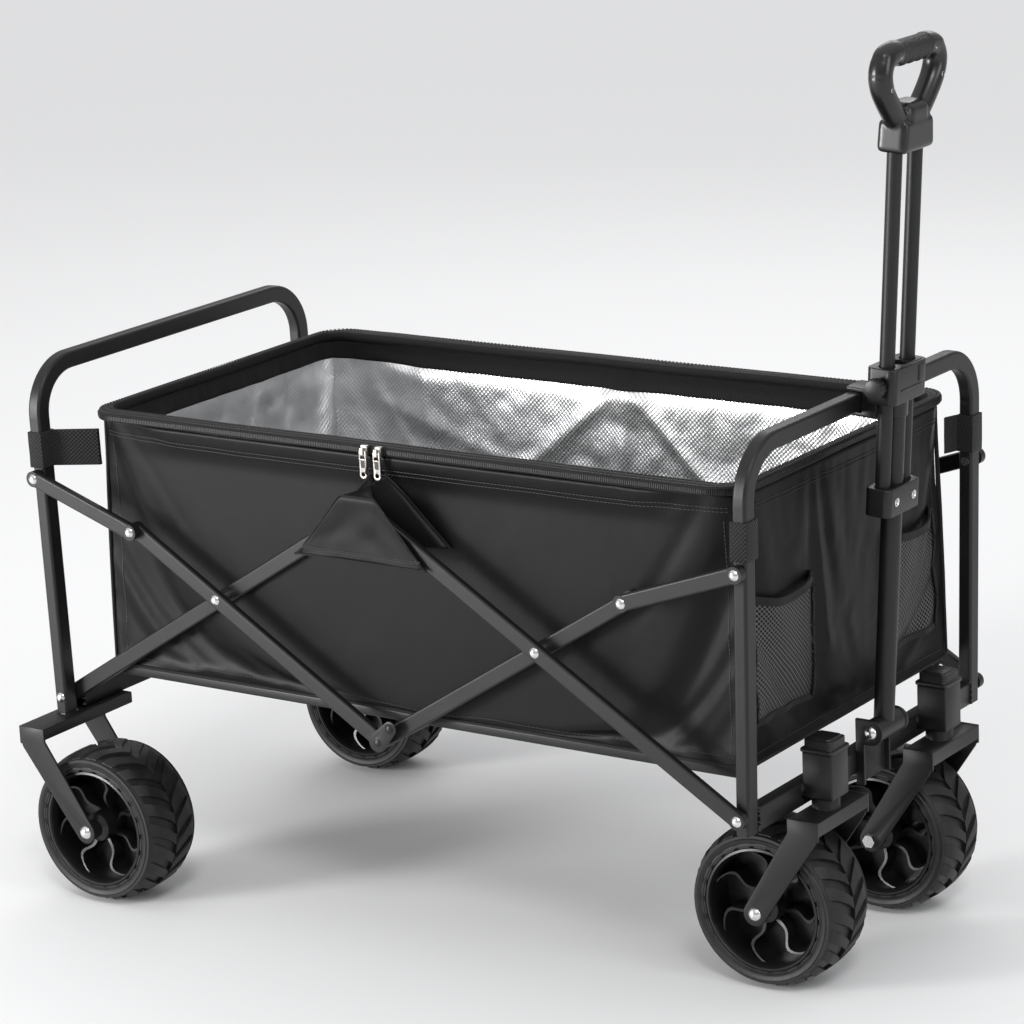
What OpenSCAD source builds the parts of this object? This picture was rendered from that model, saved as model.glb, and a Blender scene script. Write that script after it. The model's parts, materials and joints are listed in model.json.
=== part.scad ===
// Folding camp wagon: an insulated fabric box hung between two tube arches, which a scissor of
// struts on each side draws together. +X is the front, where the pull handle is, +Z is up, and the
// ground is z = 0. The left side is +Y.

/* [Frame] */
// Distance between the centre lines of the front and rear posts
post_span = 900; // [740:10:1060]
// Width over the outer faces of the posts
frame_w = 500; // [440:5:600]
// Gap between the top of a tyre and the feet of the posts
foot_gap = 25.4; // [22:0.2:40]
// Height of an arch bar's centre line above the feet
arch_rise = 400; // [370:1:480]
// Size of the arch tube along the wagon
tube_x = 16; // [14:0.5:20]
// Size of the arch tube across the wagon
tube_y = 20; // [18:0.5:24]
// Wall of the steel tubes
tube_wall = 1.5; // [1:0.1:2.5]
// Radius of the arch bends, on the centre line
bend_r = 55; // [35:1:80]
// Outward lean of the arches
arch_lean = 1.2; // [0:0.1:1.3]
// Height of the crossbars between the posts
crossbar_h = 25; // [20:1:28]

/* [Side scissors] */
// Height of the low rivets above the feet
low_rivet_up = 19; // [15:1:24]
// Angle of the struts when the wagon stands open
strut_angle = 31.6; // [29:0.1:34]
// Angle of the struts when the wagon is folded
folded_angle = 78; // [72:0.5:79]
// Level distance from the hub to the strut crossing
cross_reach = 213; // [180:1:225]
// Level distance from the strut crossing to the stay rivet
stay_reach = 108; // [80:1:125]
// Height of a strut tube
strut_h = 18; // [14:0.5:20]
// Thickness of a strut tube
strut_t = 9; // [7:0.5:9]
// Diameter of the rivet shanks
rivet_d = 6; // [5:0.5:8]
// Diameter of the domed rivet heads
rivet_head_d = 11.5; // [10:0.5:14]

/* [Wheels] */
// Diameter of a wheel over its tyre
wheel_d = 177.6; // [150:0.2:190]
// Width of a tyre
tyre_w = 84; // [60:1:86]
// Diameter of the rim inside the tyre
rim_d = 135; // [110:1:136]
// Diameter of the axle bolts
axle_d = 8; // [6:0.5:10]
// Half of the width over a fork's arms
fork_half = 54; // [53:0.5:56]
// Thickness of the fork sheet
sheet_t = 3; // [2:0.5:4]
// Distance from the rear posts forward to the rear axle
rear_axle_ahead = 71; // [60:1:90]
// Distance from the centre plane to a rear wheel's centre
rear_wheel_y = 252; // [250:1:270]
// Distance from the centre plane to a caster's swivel axis
caster_y = 124; // [115:1:126]
// Distance from the swivel axis back to the caster's axle
caster_trail = 58; // [40:1:65]
// Outer size of the square caster housing
housing_w = 35; // [30:1:38]
// Diameter of the caster stem
stem_d = 12; // [10:0.5:16]

/* [Fabric box] */
// Height of the box floor above the feet
floor_up = 59; // [55:1:75]
// Height of the fabric walls
wall_h = 286; // [220:1:286]
// Gap between the rear posts and the rear wall
rear_gap = 55; // [40:1:80]
// Gap between the front posts' centre line and the front wall
front_gap = 10; // [10:0.5:20]
// Thickness of the padded walls
wall_t = 4; // [3:0.5:6]
// Thickness of the folding floor mat
mat_t = 7.5; // [5:0.5:10]
// Height of the zipper rim
rim_h = 12; // [8:1:20]
// Thickness of the webbing that wraps a post
strap_t = 1.6; // [1:0.1:1.7]

/* [Pull handle] */
// Forward lean of the parked handle
handle_lean = 3.6; // [0:0.1:5]
// Distance from the front posts forward to the handle pivot
pivot_ahead = 26; // [24:0.5:32]
// Height of the handle pivot above the feet
pivot_up = 47; // [42:1:52]
// Diameter of the fixed handle tube
pull_tube_d = 22; // [20:0.5:23]
// Diameter of the two sliding rods
rod_d = 16; // [12:0.5:16]
// Distance between the centre lines of the two rods
rod_spacing = 43; // [42:0.5:48]
// Height of the grip's top above the pivot, along the handle
grip_top = 735; // [700:1:800]
// Width of the grip
grip_w = 138; // [120:1:150]
// Thickness of the grip
grip_t = 35; // [30:0.5:40]
// Clearance of what slides or turns
slide_gap = 0.3; // [0.2:0.05:0.6]

/* [Hidden] */
$fn = 64;

// Colours
steel = [0.08, 0.08, 0.085];
fabric = [0.055, 0.055, 0.06];
webbing = [0.1, 0.1, 0.105];
foil = [0.78, 0.79, 0.8];
silver = [0.75, 0.75, 0.74];
rubber = [0.03, 0.03, 0.03];
plastic = [0.05, 0.05, 0.052];

// The origin is under the middle of the whole wagon, so every place along X starts from these.
half_span = post_span / 2;
lowest_x = rear_axle_ahead - half_span - wheel_d / 2;
highest_x = half_span + pivot_ahead + grip_top * sin(handle_lean) + grip_t / 2 * cos(handle_lean);
middle_x = (lowest_x + highest_x) / 2;
rear_x = -half_span - middle_x;
front_x = half_span - middle_x;
hub_x = -middle_x;

// Heights
axle_z = wheel_d / 2;
foot_z = wheel_d + foot_gap;
low_z = foot_z + low_rivet_up;
floor_z = foot_z + floor_up;
wall_top = floor_z + wall_h;
pivot_z = foot_z + pivot_up;

// Post centre lines, and the layers of the scissor from the outside in
post_y = frame_w / 2 - tube_y / 2;
layer_gap = 0.4;
stay_y = frame_w / 2 + strap_t + layer_gap; // stays and front risers run outside the posts
rear_strut_y = stay_y - layer_gap - strut_t;
front_strut_y = rear_strut_y - layer_gap - strut_t;
riser_y = frame_w / 2 - tube_y - layer_gap - strut_t; // rear risers run inside the rear posts
box_y = riser_y - 2.1; // half width of the box, clear of the risers

// The scissor: risers and struts cross at equal and opposite angles, so one angle drives them all
riser_low = (half_span - cross_reach) / cos(strut_angle);
riser_high = cross_reach / cos(strut_angle);
strut_high = stay_reach / cos(strut_angle);
stay_out = 280 * tan(arch_lean); // how far the leaning post sets the stay's top rivet out
stay_z = low_z - stay_offset(riser_low - strut_high, riser_low + strut_high);
cross_z = low_z + riser_low * sin(strut_angle);
hub_z = cross_z - riser_high * sin(strut_angle);
apex_z = cross_z + riser_high * sin(strut_angle);
joint_x = cross_reach + stay_reach; // stay rivets, from the hub
joint_z = cross_z + strut_high * sin(strut_angle);
bore_gap = 0.2;
cap_len = 14; // plastic end of a strut, from the rivet back to the tube
carrier_t = 2.5;
apex_shoulder_d = 8;
hub_rivet = [17, 18]; // second rivet of a hub bracket, from the hub

// Places on the handle, along it from the pivot
clamp_low = 358;
clamp_high = 396;
collar_low = 238;
collar_h = 30;
neck_low = 617;
rod_socket = 23;

// Box outline
box_rear = rear_x + rear_gap;
box_front = front_x - front_gap;
rim_out = 14; // how far the zipper rim stands out past the walls
rim_in = 8;

// How far below the low rivets' height the stay's top rivet would be, when one stay length fits
// the open and the folded wagon alike
function stay_offset(near, far) =
    (pow(near * cos(strut_angle) + stay_out, 2) - pow(near * cos(folded_angle) + stay_out, 2)
        + pow(far, 2) * (pow(sin(strut_angle), 2) - pow(sin(folded_angle), 2)))
    / (2 * far * (sin(folded_angle) - sin(strut_angle)));

function direction(from, to) = atan2(to[1] - from[1], to[0] - from[0]);

// ---- shared shapes

module both_sides() {
    children();
    mirror([0, 1, 0]) children();
}

// A rectangle with round corners, centred
module round_rect(w, h, r) {
    square([w - 2 * r, h], center = true);
    square([w, h - 2 * r], center = true);
    for (sx = [-1, 1], sy = [-1, 1])
        translate([sx * (w / 2 - r), sy * (h / 2 - r)]) circle(r);
}

// Two circles joined by their outer tangents
module taper_link(p, q, rp, rq) {
    turn = acos((rp - rq) / norm(q - p));
    a = direction(p, q);
    polygon([
        p + rp * [cos(a + turn), sin(a + turn)], q + rq * [cos(a + turn), sin(a + turn)],
        q + rq * [cos(a - turn), sin(a - turn)], p + rp * [cos(a - turn), sin(a - turn)]
    ]);
    translate(p) circle(rp);
    translate(q) circle(rq);
}

// Stands an outline drawn in X and Z up, from y = low to y = low + t
module upright(low, t) {
    translate([0, low + t, 0]) rotate([90, 0, 0]) linear_extrude(t) children();
}

// A rod across the wagon
module cross_rod(x, z, low, high, d) {
    translate([x, high, z]) rotate([90, 0, 0]) cylinder(d = d, h = high - low);
}

// A domed head with its flat face at y = low, pointing to +Y
module dome(x, z, low, d, h) {
    ball = (d * d / 4 + h * h) / (2 * h);
    translate([x, low, z]) rotate([-90, 0, 0]) rotate_extrude()
        intersection() {
            translate([0, h - ball]) circle(ball);
            square([d, h]);
        }
}

// A rivet from y = low to y = high, with a domed head outside and a flat tail inside
module rivet(x, z, low, high) {
    cross_rod(x, z, low, high + 0.4, rivet_d);
    dome(x, z, high, rivet_head_d, 3);
    cross_rod(x, z, low - 1.2, low, rivet_head_d - 2);
}

// A strut tube along the line from p to q, points in X and Z. Its ends are round about the rivets,
// or stop short for a plastic cap.
module strut(p, q, low, cap_p, cap_q, bores) {
    len = norm(q - p);
    a = direction(p, q);
    from = cap_p ? cap_len : 0;
    to = cap_q ? len - cap_len : len;
    plug = 12;
    difference() {
        translate([p[0], low + strut_t / 2, p[1]]) rotate([0, -a, 0]) difference() {
            union() {
                translate([from, 0, 0]) rotate([0, 90, 0]) linear_extrude(to - from)
                    round_rect(strut_h, strut_t, 2.5);
                if (!cap_p) rotate([90, 0, 0]) cylinder(d = strut_h, h = strut_t, center = true);
                if (!cap_q) translate([len, 0, 0]) rotate([90, 0, 0])
                    cylinder(d = strut_h, h = strut_t, center = true);
            }
            translate([cap_p ? 0 : plug, 0, 0]) rotate([0, 90, 0])
                linear_extrude(len - (cap_p ? 0 : plug) - (cap_q ? 0 : plug))
                    round_rect(strut_h - 2.4, strut_t - 2.4, 1.3);
        }
        for (s = bores) {
            at = p + s * (q - p) / len;
            cross_rod(at[0], at[1], low - 1, low + strut_t + 1, rivet_d + 2 * bore_gap);
        }
    }
}

// The plastic end of a strut, round about the rivet at p
module strut_cap(p, q, low) {
    a = direction(p, q);
    difference() {
        union() {
            cross_rod(p[0], p[1], low, low + strut_t, strut_h);
            translate([p[0], low + strut_t / 2, p[1]]) rotate([0, -a, 0]) rotate([0, 90, 0])
                linear_extrude(cap_len) round_rect(strut_h, strut_t, 2.5);
        }
        cross_rod(p[0], p[1], low - 1, low + strut_t + 1, rivet_d + 2 * bore_gap);
    }
}

// ---- arches and crossbars

// An arch's solid outline, shrunk by the wall to give its hollow
module arch_bow(shrink) {
    across = tube_y - 2 * shrink;
    along = tube_x - 2 * shrink;
    r = 3.5 - shrink / 2;
    straight = post_y - bend_r;
    both_sides() {
        translate([0, post_y, -2]) linear_extrude(arch_rise - bend_r + 2) round_rect(along, across, r);
        translate([0, straight, arch_rise - bend_r]) rotate([90, 0, 90])
            rotate_extrude(angle = 90) translate([bend_r, 0]) round_rect(across, along, r);
    }
    translate([0, -straight, arch_rise]) rotate([-90, 0, 0]) linear_extrude(2 * straight)
        round_rect(along, across, r);
}

// Draws a child in an arch's own frame, which leans about the height of the feet
module in_arch(x, lean) {
    translate([x, 0, foot_z]) rotate([0, lean, 0]) children();
}

module arch(x, lean) {
    stay_x = x + (lean > 0 ? stay_out : -stay_out);
    difference() {
        in_arch(x, lean) difference() {
            arch_bow(0);
            arch_bow(tube_wall);
        }
        both_sides() {
            cross_rod(x, low_z, post_y - tube_y, post_y + tube_y, rivet_d);
            cross_rod(stay_x, stay_z, post_y - tube_y, post_y + tube_y, rivet_d);
        }
        translate([x - tube_x, -frame_w, foot_z - 10]) cube([2 * tube_x, 2 * frame_w, 10]);
    }
}

module rear_arch() color(steel) arch(rear_x, -arch_lean);

module front_arch() color(steel) arch(front_x, arch_lean);

// A box tube across the wagon, standing on the height of the feet
module crossbar(x, half) {
    difference() {
        translate([x - tube_x / 2, -half, foot_z]) cube([tube_x, 2 * half, crossbar_h]);
        translate([x - tube_x / 2 + tube_wall, -half - 1, foot_z + tube_wall])
            cube([tube_x - 2 * tube_wall, 2 * half + 2, crossbar_h - 2 * tube_wall]);
    }
}

module rear_crossbar() color(steel) crossbar(rear_x, riser_y - 1);

module front_crossbar() color(steel) crossbar(front_x, frame_w / 2 - tube_y);

// ---- rear forks, welded under the posts

module fork_arm(top, axle, low) {
    difference() {
        upright(low, sheet_t) {
            taper_link(top, axle, 16, 13);
            translate([top[0] - 18, top[1] - 4]) square([36, 21]);
        }
        cross_rod(axle[0], axle[1], low - 1, low + sheet_t + 1, axle_d + 2 * bore_gap);
    }
}

module rear_fork() {
    top = [rear_x + 2, foot_z - 17];
    axle = [rear_x + rear_axle_ahead, axle_z];
    inner = rear_wheel_y - fork_half;
    outer = rear_wheel_y + fork_half;
    reach = 150; // inner end of the crown, under the crossbar
    fork_arm(top, axle, inner);
    fork_arm(top, axle, outer - sheet_t);
    translate([top[0] - 18, reach, foot_z - sheet_t]) cube([36, outer - reach, sheet_t]);
    for (x = [top[0] - 18, top[0] + 18 - sheet_t])
        translate([x, reach, foot_z - 13]) cube([sheet_t, outer - reach, 13]);
}

module rear_fork_left() color(steel) rear_fork();

module rear_fork_right() color(steel) mirror([0, 1, 0]) rear_fork();

// A bolt through both arms of a fork, with a domed head outside and a hex nut inside
module axle_bolt(x, y) {
    cross_rod(x, axle_z, y - fork_half - 1, y + fork_half + 1, axle_d);
    dome(x, axle_z, y + fork_half, 15, 4.5);
    translate([x, y - fork_half, axle_z]) rotate([90, 0, 0]) cylinder(d = 15, h = 5, $fn = 6);
}

module rear_axle_bolts() color(silver) both_sides()
    axle_bolt(rear_x + rear_axle_ahead, rear_wheel_y);

// ---- wheels

module tyre(x, y) {
    half = tyre_w / 2;
    shoulder = 9;
    translate([x, y, axle_z]) rotate([90, 0, 0]) rotate_extrude($fn = 128) {
        translate([rim_d / 2, -half + shoulder])
            square([wheel_d / 2 - rim_d / 2, tyre_w - 2 * shoulder]);
        translate([rim_d / 2, -half]) square([wheel_d / 2 - rim_d / 2 - shoulder, tyre_w]);
        for (s = [-1, 1]) translate([wheel_d / 2 - shoulder, s * (half - shoulder)]) circle(shoulder);
    }
}

module wheel(x, y) {
    half = tyre_w / 2 - 3;
    hub_half = fork_half - sheet_t - 1;
    barrel = rim_d / 2 - 4;
    spokes = 7;
    web_half = 16;
    bend = 46; // radius of a spoke's curve
    translate([x, y, axle_z]) rotate([90, 0, 0]) difference() {
        union() {
            difference() {
                cylinder(d = rim_d, h = 2 * half, center = true, $fn = 128);
                cylinder(r = barrel, h = 2 * half + 2, center = true, $fn = 128);
            }
            cylinder(d = 34, h = 2 * hub_half, center = true);
            for (i = [0:spokes - 1]) rotate(i * 360 / spokes) linear_extrude(2 * web_half, center = true)
                intersection() {
                    translate([0, bend]) difference() {
                        circle(bend + 3.5);
                        circle(bend - 3.5);
                    }
                    difference() {
                        circle(barrel + 1);
                        circle(14);
                    }
                    translate([0, -5]) square([barrel + 2, barrel + 7]);
                }
        }
        cylinder(d = axle_d + 2 * slide_gap, h = 3 * hub_half, center = true);
    }
}

front_axle_x = front_x + housing_w / 2 + tube_x / 2 - caster_trail;
rear_axle_x = rear_x + rear_axle_ahead;

module tyre_rear_left() color(rubber) tyre(rear_axle_x, rear_wheel_y);

module tyre_rear_right() color(rubber) tyre(rear_axle_x, -rear_wheel_y);

module tyre_front_left() color(rubber) tyre(front_axle_x, caster_y);

module tyre_front_right() color(rubber) tyre(front_axle_x, -caster_y);

module wheel_rear_left() color(plastic) wheel(rear_axle_x, rear_wheel_y);

module wheel_rear_right() color(plastic) mirror([0, 1, 0]) wheel(rear_axle_x, rear_wheel_y);

module wheel_front_left() color(plastic) wheel(front_axle_x, caster_y);

module wheel_front_right() color(plastic) mirror([0, 1, 0]) wheel(front_axle_x, caster_y);

// ---- casters

swivel_x = front_x + tube_x / 2 + housing_w / 2;
housing_low = foot_z + 9;
housing_high = foot_z + 59;
crown_z = foot_z - 3; // top of the caster's crown plate
bearing_d = 30;

module caster_fork() {
    top = [swivel_x + 2, crown_z - 16];
    axle = [swivel_x - caster_trail, axle_z];
    difference() {
        union() {
            for (side = [-fork_half, fork_half - sheet_t]) fork_arm(top, axle, caster_y + side);
            translate([top[0] - 18, caster_y - fork_half, crown_z - sheet_t])
                cube([36, 2 * fork_half, sheet_t]);
            translate([top[0] + 18 - sheet_t, caster_y - fork_half, crown_z - 15])
                cube([sheet_t, 2 * fork_half, 15]);
            translate([swivel_x, caster_y, crown_z - 0.5])
                cylinder(d = bearing_d, h = housing_low - crown_z + 0.5 - slide_gap);
        }
        translate([swivel_x, caster_y, crown_z - 2 * sheet_t]) cylinder(d = stem_d, h = 60);
    }
}

module caster_fork_left() color(steel) caster_fork();

module caster_fork_right() color(steel) mirror([0, 1, 0]) caster_fork();

// The axle bolt, and the stem that the fork swivels on, with its head under the crown
module caster_bolts() {
    axle_bolt(swivel_x - caster_trail, caster_y);
    translate([swivel_x, caster_y, crown_z - sheet_t]) {
        cylinder(d = stem_d, h = housing_high - crown_z + sheet_t - 2);
        translate([0, 0, -4]) cylinder(d = 19, h = 4, $fn = 6);
    }
}

module caster_bolts_left() color(silver) caster_bolts();

module caster_bolts_right() color(silver) mirror([0, 1, 0]) caster_bolts();

// Square tubes welded on the front of the crossbar, with a bush that the stem turns in
module caster_housings() color(steel) both_sides() translate([swivel_x, caster_y, 0]) {
    difference() {
        translate([-housing_w / 2, -housing_w / 2, housing_low])
            cube([housing_w, housing_w, housing_high - housing_low]);
        translate([0, 0, housing_low - 1])
            cylinder(d = stem_d + 2 * slide_gap, h = housing_high - housing_low + 2);
    }
}

module caster_caps() color(plastic) both_sides() translate([swivel_x, caster_y, housing_high]) {
    linear_extrude(4) round_rect(housing_w + 4, housing_w + 4, 4);
    translate([0, 0, 4]) linear_extrude(9) round_rect(housing_w - 2, housing_w - 2, 5);
    translate([0, 0, 13]) linear_extrude(2) round_rect(housing_w - 8, housing_w - 8, 5);
}

// ---- scissor

rear_low = [rear_x, low_z];
rear_cross = [hub_x - cross_reach, cross_z];
rear_joint = [hub_x - joint_x, joint_z];
front_low = [front_x, low_z];
front_cross = [hub_x + cross_reach, cross_z];
front_joint = [hub_x + joint_x, joint_z];
hub = [hub_x, hub_z];
apex = [hub_x, apex_z];
riser_len = riser_low + riser_high;
strut_len = riser_high + strut_high;

module rear_risers() color(steel) both_sides()
    strut(rear_low, apex, riser_y, false, false, [0, riser_low, riser_len]);

module front_risers() color(steel) both_sides()
    strut(front_low, apex, stay_y, false, false, [0, riser_low, riser_len]);

module rear_struts() color(steel) both_sides()
    strut(hub, rear_joint, rear_strut_y, true, true, [riser_high]);

module front_struts() color(steel) both_sides()
    strut(hub, front_joint, front_strut_y, true, true, [riser_high]);

module rear_strut_caps() color(plastic) both_sides() {
    strut_cap(hub, rear_joint, rear_strut_y);
    strut_cap(rear_joint, hub, rear_strut_y);
}

module front_strut_caps() color(plastic) both_sides() {
    strut_cap(hub, front_joint, front_strut_y);
    strut_cap(front_joint, hub, front_strut_y);
}

rear_stay_top = [rear_x - stay_out, stay_z];
front_stay_top = [front_x + stay_out, stay_z];
stay_len = norm(rear_joint - rear_stay_top);

module rear_stays() color(steel) both_sides()
    strut(rear_stay_top, rear_joint, stay_y, false, false, [0, stay_len]);

module front_stays() color(steel) both_sides()
    strut(front_stay_top, front_joint, stay_y, false, false, [0, stay_len]);

// Rivets at the rear crossings, with a shoulder that spaces the strut off the riser
module rear_riser_rivets() color(silver) both_sides() {
    rivet(rear_cross[0], rear_cross[1], riser_y, rear_strut_y + strut_t);
    cross_rod(rear_cross[0], rear_cross[1], riser_y + strut_t, rear_strut_y - bore_gap, 12);
}

// Rivets at the front crossings and at the apex, where the front risers meet the rear ones
module front_riser_rivets() color(silver) both_sides() {
    rivet(front_cross[0], front_cross[1], front_strut_y, stay_y + strut_t);
    cross_rod(front_cross[0], front_cross[1], front_strut_y + strut_t + bore_gap, stay_y, 12);
    cross_rod(apex[0], apex[1], riser_y - 1.2, stay_y + strut_t, rivet_d);
    cross_rod(apex[0], apex[1], riser_y + strut_t + bore_gap, stay_y, apex_shoulder_d);
}

// Rivets at the low ends of the stays: they stop at the stay's own thickness
module rear_stay_rivets() color(silver) both_sides() {
    cross_rod(rear_joint[0], rear_joint[1], stay_y, stay_y + strut_t, rivet_d);
    dome(rear_joint[0], rear_joint[1], stay_y + strut_t, rivet_head_d, 3);
}

module front_stay_rivets() color(silver) both_sides() {
    cross_rod(front_joint[0], front_joint[1], stay_y, stay_y + strut_t, rivet_d);
    dome(front_joint[0], front_joint[1], stay_y + strut_t, rivet_head_d, 3);
    cross_rod(front_joint[0], front_joint[1], front_strut_y + strut_t + layer_gap, stay_y, 12);
}

// Rivets through the posts: the risers' low ends and the stays' top ends
module rear_post_rivets() color(silver) both_sides() {
    rivet(rear_x, low_z, riser_y, frame_w / 2);
    rivet(rear_stay_top[0], stay_z, frame_w / 2 - tube_y, stay_y + strut_t);
    cross_rod(rear_stay_top[0], stay_z, frame_w / 2, stay_y - bore_gap, 12);
}

module front_post_rivets() color(silver) both_sides() for (at = [front_low, front_stay_top]) {
    rivet(at[0], at[1], frame_w / 2 - tube_y, stay_y + strut_t);
    cross_rod(at[0], at[1], frame_w / 2, stay_y - bore_gap, 12);
}

// ---- hub carrier

module hub_cross_tube() color(steel) difference() {
    end = front_strut_y - layer_gap;
    cross_rod(hub_x, hub_z, -end, end, 16);
    cross_rod(hub_x, hub_z, -end - 1, end + 1, rivet_d);
}

// A plate outside each hub, its screw, which runs into the cross tube, and a second rivet
module hub_brackets() color(steel) both_sides() {
    plate_y = rear_strut_y + strut_t + layer_gap;
    difference() {
        upright(plate_y, carrier_t) taper_link(hub, hub + hub_rivet, 11, 8);
        cross_rod(hub_x, hub_z, plate_y - 1, plate_y + 5, rivet_d);
    }
    cross_rod(hub_x, hub_z, front_strut_y - 30, plate_y + carrier_t, rivet_d);
    dome(hub_x, hub_z, plate_y + carrier_t, 10, 1.8);
    dome(hub_x + hub_rivet[0], hub_z + hub_rivet[1], plate_y + carrier_t, rivet_head_d, 3);
}

// ---- fabric box

module bag_rear_wall() color(fabric)
    translate([box_rear, -box_y, floor_z]) cube([wall_t, 2 * box_y, wall_h]);

module bag_front_wall() color(fabric)
    translate([box_front - wall_t, -box_y, floor_z]) cube([wall_t, 2 * box_y, wall_h]);

module bag_side_walls() color(fabric) both_sides()
    translate([box_rear + wall_t, box_y - wall_t, floor_z])
        cube([box_front - box_rear - 2 * wall_t, wall_t, wall_h]);

module bag_floor() color(fabric)
    translate([box_rear + wall_t, -box_y + wall_t, floor_z])
        cube([box_front - box_rear - 2 * wall_t, 2 * (box_y - wall_t), wall_t]);

liner_t = 2;
mat_gap = 3;

// Four stiff panels side by side, which fold up on each other
module floor_mat() color(fabric) {
    panels = 4;
    joint = 2;
    inset = wall_t + liner_t + mat_gap;
    len = box_front - box_rear - 2 * inset;
    panel = (len - (panels - 1) * joint) / panels;
    for (i = [0:panels - 1])
        translate([box_rear + inset + i * (panel + joint), -box_y + inset, floor_z + wall_t + liner_t])
            cube([panel, 2 * (box_y - inset), mat_t]);
}

// The foil skin inside the walls and over the floor
module foil_liner() color(foil) difference() {
    translate([box_rear + wall_t, -box_y + wall_t, floor_z + wall_t])
        cube([box_front - box_rear - 2 * wall_t, 2 * (box_y - wall_t), wall_h - wall_t]);
    translate([box_rear + wall_t + liner_t, -box_y + wall_t + liner_t, floor_z + wall_t + liner_t])
        cube([box_front - box_rear - 2 * (wall_t + liner_t), 2 * (box_y - wall_t - liner_t), wall_h]);
}

// The zipper band that runs round the top of the walls
module zip_rim() color(webbing) difference() {
    translate([(box_rear + box_front) / 2, 0, wall_top]) linear_extrude(rim_h)
        round_rect(box_front - box_rear + 3, 2 * (box_y + rim_out), 36);
    translate([(box_rear + box_front) / 2, 0, wall_top - 1]) linear_extrude(rim_h + 2)
        round_rect(box_front - box_rear - 2 * rim_in, 2 * (box_y - rim_in), 24);
}

// A gusset on each side that covers the apex of the risers
module apex_flaps() color(fabric) both_sides() {
    roof = apex_z + strut_h / 2 + 1.6;
    flap_t = 2.5;
    face = stay_y + strut_t + layer_gap + 3;
    upright(face, flap_t) translate([hub_x, 0])
        polygon([[-86, roof - 69], [86, roof - 69], [24, roof + flap_t], [-24, roof + flap_t]]);
    translate([hub_x - 24, box_y, roof]) cube([48, face - box_y, flap_t]);
}

// Stiff hem rails under the edges of the floor
module hem_rails() color(steel) both_sides()
    translate([box_rear + 8, box_y - 13, floor_z - 11]) cube([box_front - box_rear - 16, 12, 11]);

strap_up = stay_z + strut_h / 2 + 2 - foot_z;
strap_h = 41;

// A strap wraps the post, and its tail runs back to the corner of the box, gap away
module post_strap(x, gap, lean) {
    side = lean > 0 ? -1 : 1;
    ring_x = tube_x + 0.2;
    ring_y = tube_y + 0.2;
    tail = gap + strap_up * sin(arch_lean) - 1;
    in_arch(x, lean) translate([0, 0, strap_up]) linear_extrude(strap_h) difference() {
        union() {
            translate([0, post_y]) square([ring_x + 2 * strap_t, ring_y + 2 * strap_t], center = true);
            polygon([
                [side * ring_x / 2, post_y - 4], [side * ring_x / 2, post_y - 8],
                [side * tail, box_y - 9], [side * tail, box_y - 5]
            ]);
        }
        translate([0, post_y]) square([ring_x, ring_y], center = true);
    }
}

module rear_post_straps() color(webbing) both_sides() post_strap(rear_x, rear_gap, -arch_lean);

module front_post_straps() color(webbing) both_sides() post_strap(front_x, front_gap, arch_lean);

// Flat mesh pockets on the front wall
module mesh_pockets() color(webbing) both_sides()
    translate([box_front, 78, floor_z + 41]) cube([2.5, 114, 132]);

// ---- zipper sliders and pulls, at the middle of the right side

zip_y = -(box_y + rim_out) - 0.3;
zip_z = wall_top + rim_h / 2;
eye_y = zip_y - 6;
tab_w = 9;
// The pulls hang on either side of the apex rivet, which rises between them as the wagon folds
pull_apart = max(18, apex_shoulder_d + tab_w + 1);
pull_x = [hub_x - pull_apart / 2, hub_x + pull_apart / 2];

module zip_sliders() color(silver) for (x = pull_x) {
    translate([x - 4, zip_y - 4, zip_z - 6]) cube([8, 4, 12]);
    difference() {
        translate([x - 2, zip_y - 9, zip_z - 4]) cube([4, 6, 8]);
        translate([x - 3, eye_y, zip_z]) rotate([0, 90, 0]) cylinder(d = 3.4, h = 6);
    }
}

// A pull hangs from the slider's eye by a wire loop and ends in a flat tab with a hole
module zip_pull(x) {
    tab_len = 30;
    translate([x, eye_y, zip_z]) {
        translate([-tab_w / 2, 0, 0]) rotate([0, 90, 0]) cylinder(d = 2.4, h = tab_w);
        for (s = [-1, 1]) translate([s * (tab_w / 2 - 0.9) - 0.9, -1.2, -8.4]) cube([1.8, 2.4, 8.4]);
        translate([0, 1, 0]) rotate([90, 0, 0]) linear_extrude(2) difference() {
            union() {
                translate([-tab_w / 2, -tab_len + 5]) square([tab_w, tab_len - 13]);
                translate([0, -tab_len + tab_w / 2]) circle(d = tab_w);
            }
            translate([0, -tab_len + tab_w / 2 + 0.5]) circle(d = tab_w - 4);
        }
    }
}

module zip_pull_rear() color(silver) zip_pull(pull_x[0]);

module zip_pull_front() color(silver) zip_pull(pull_x[1]);

// ---- pull handle

pivot_x = front_x + pivot_ahead;
barrel_d = 26;
barrel_half = 25;
bolt_d = 8;

// Puts a child that is drawn along the handle, from the pivot up, in its place
module on_handle() {
    translate([pivot_x, 0, pivot_z]) rotate([0, handle_lean, 0]) children();
}

// Two ears and a back plate welded on the front of the crossbar
module handle_bracket() color(steel) {
    ear_t = 4;
    back = front_x + tube_x / 2;
    difference() {
        union() {
            for (y = [-barrel_half - slide_gap - ear_t, barrel_half + slide_gap]) upright(y, ear_t) {
                translate([pivot_x, pivot_z]) circle(14);
                translate([back, pivot_z - 14]) square([pivot_x - back, 28]);
                translate([back, foot_z - 12]) square([10, pivot_z - foot_z]);
            }
            translate([back, -barrel_half - slide_gap - ear_t, foot_z - 12])
                cube([3, 2 * (barrel_half + slide_gap + ear_t), pivot_up + 6]);
        }
        cross_rod(pivot_x, pivot_z, -40, 40, bolt_d + 2 * bore_gap);
    }
}

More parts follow.
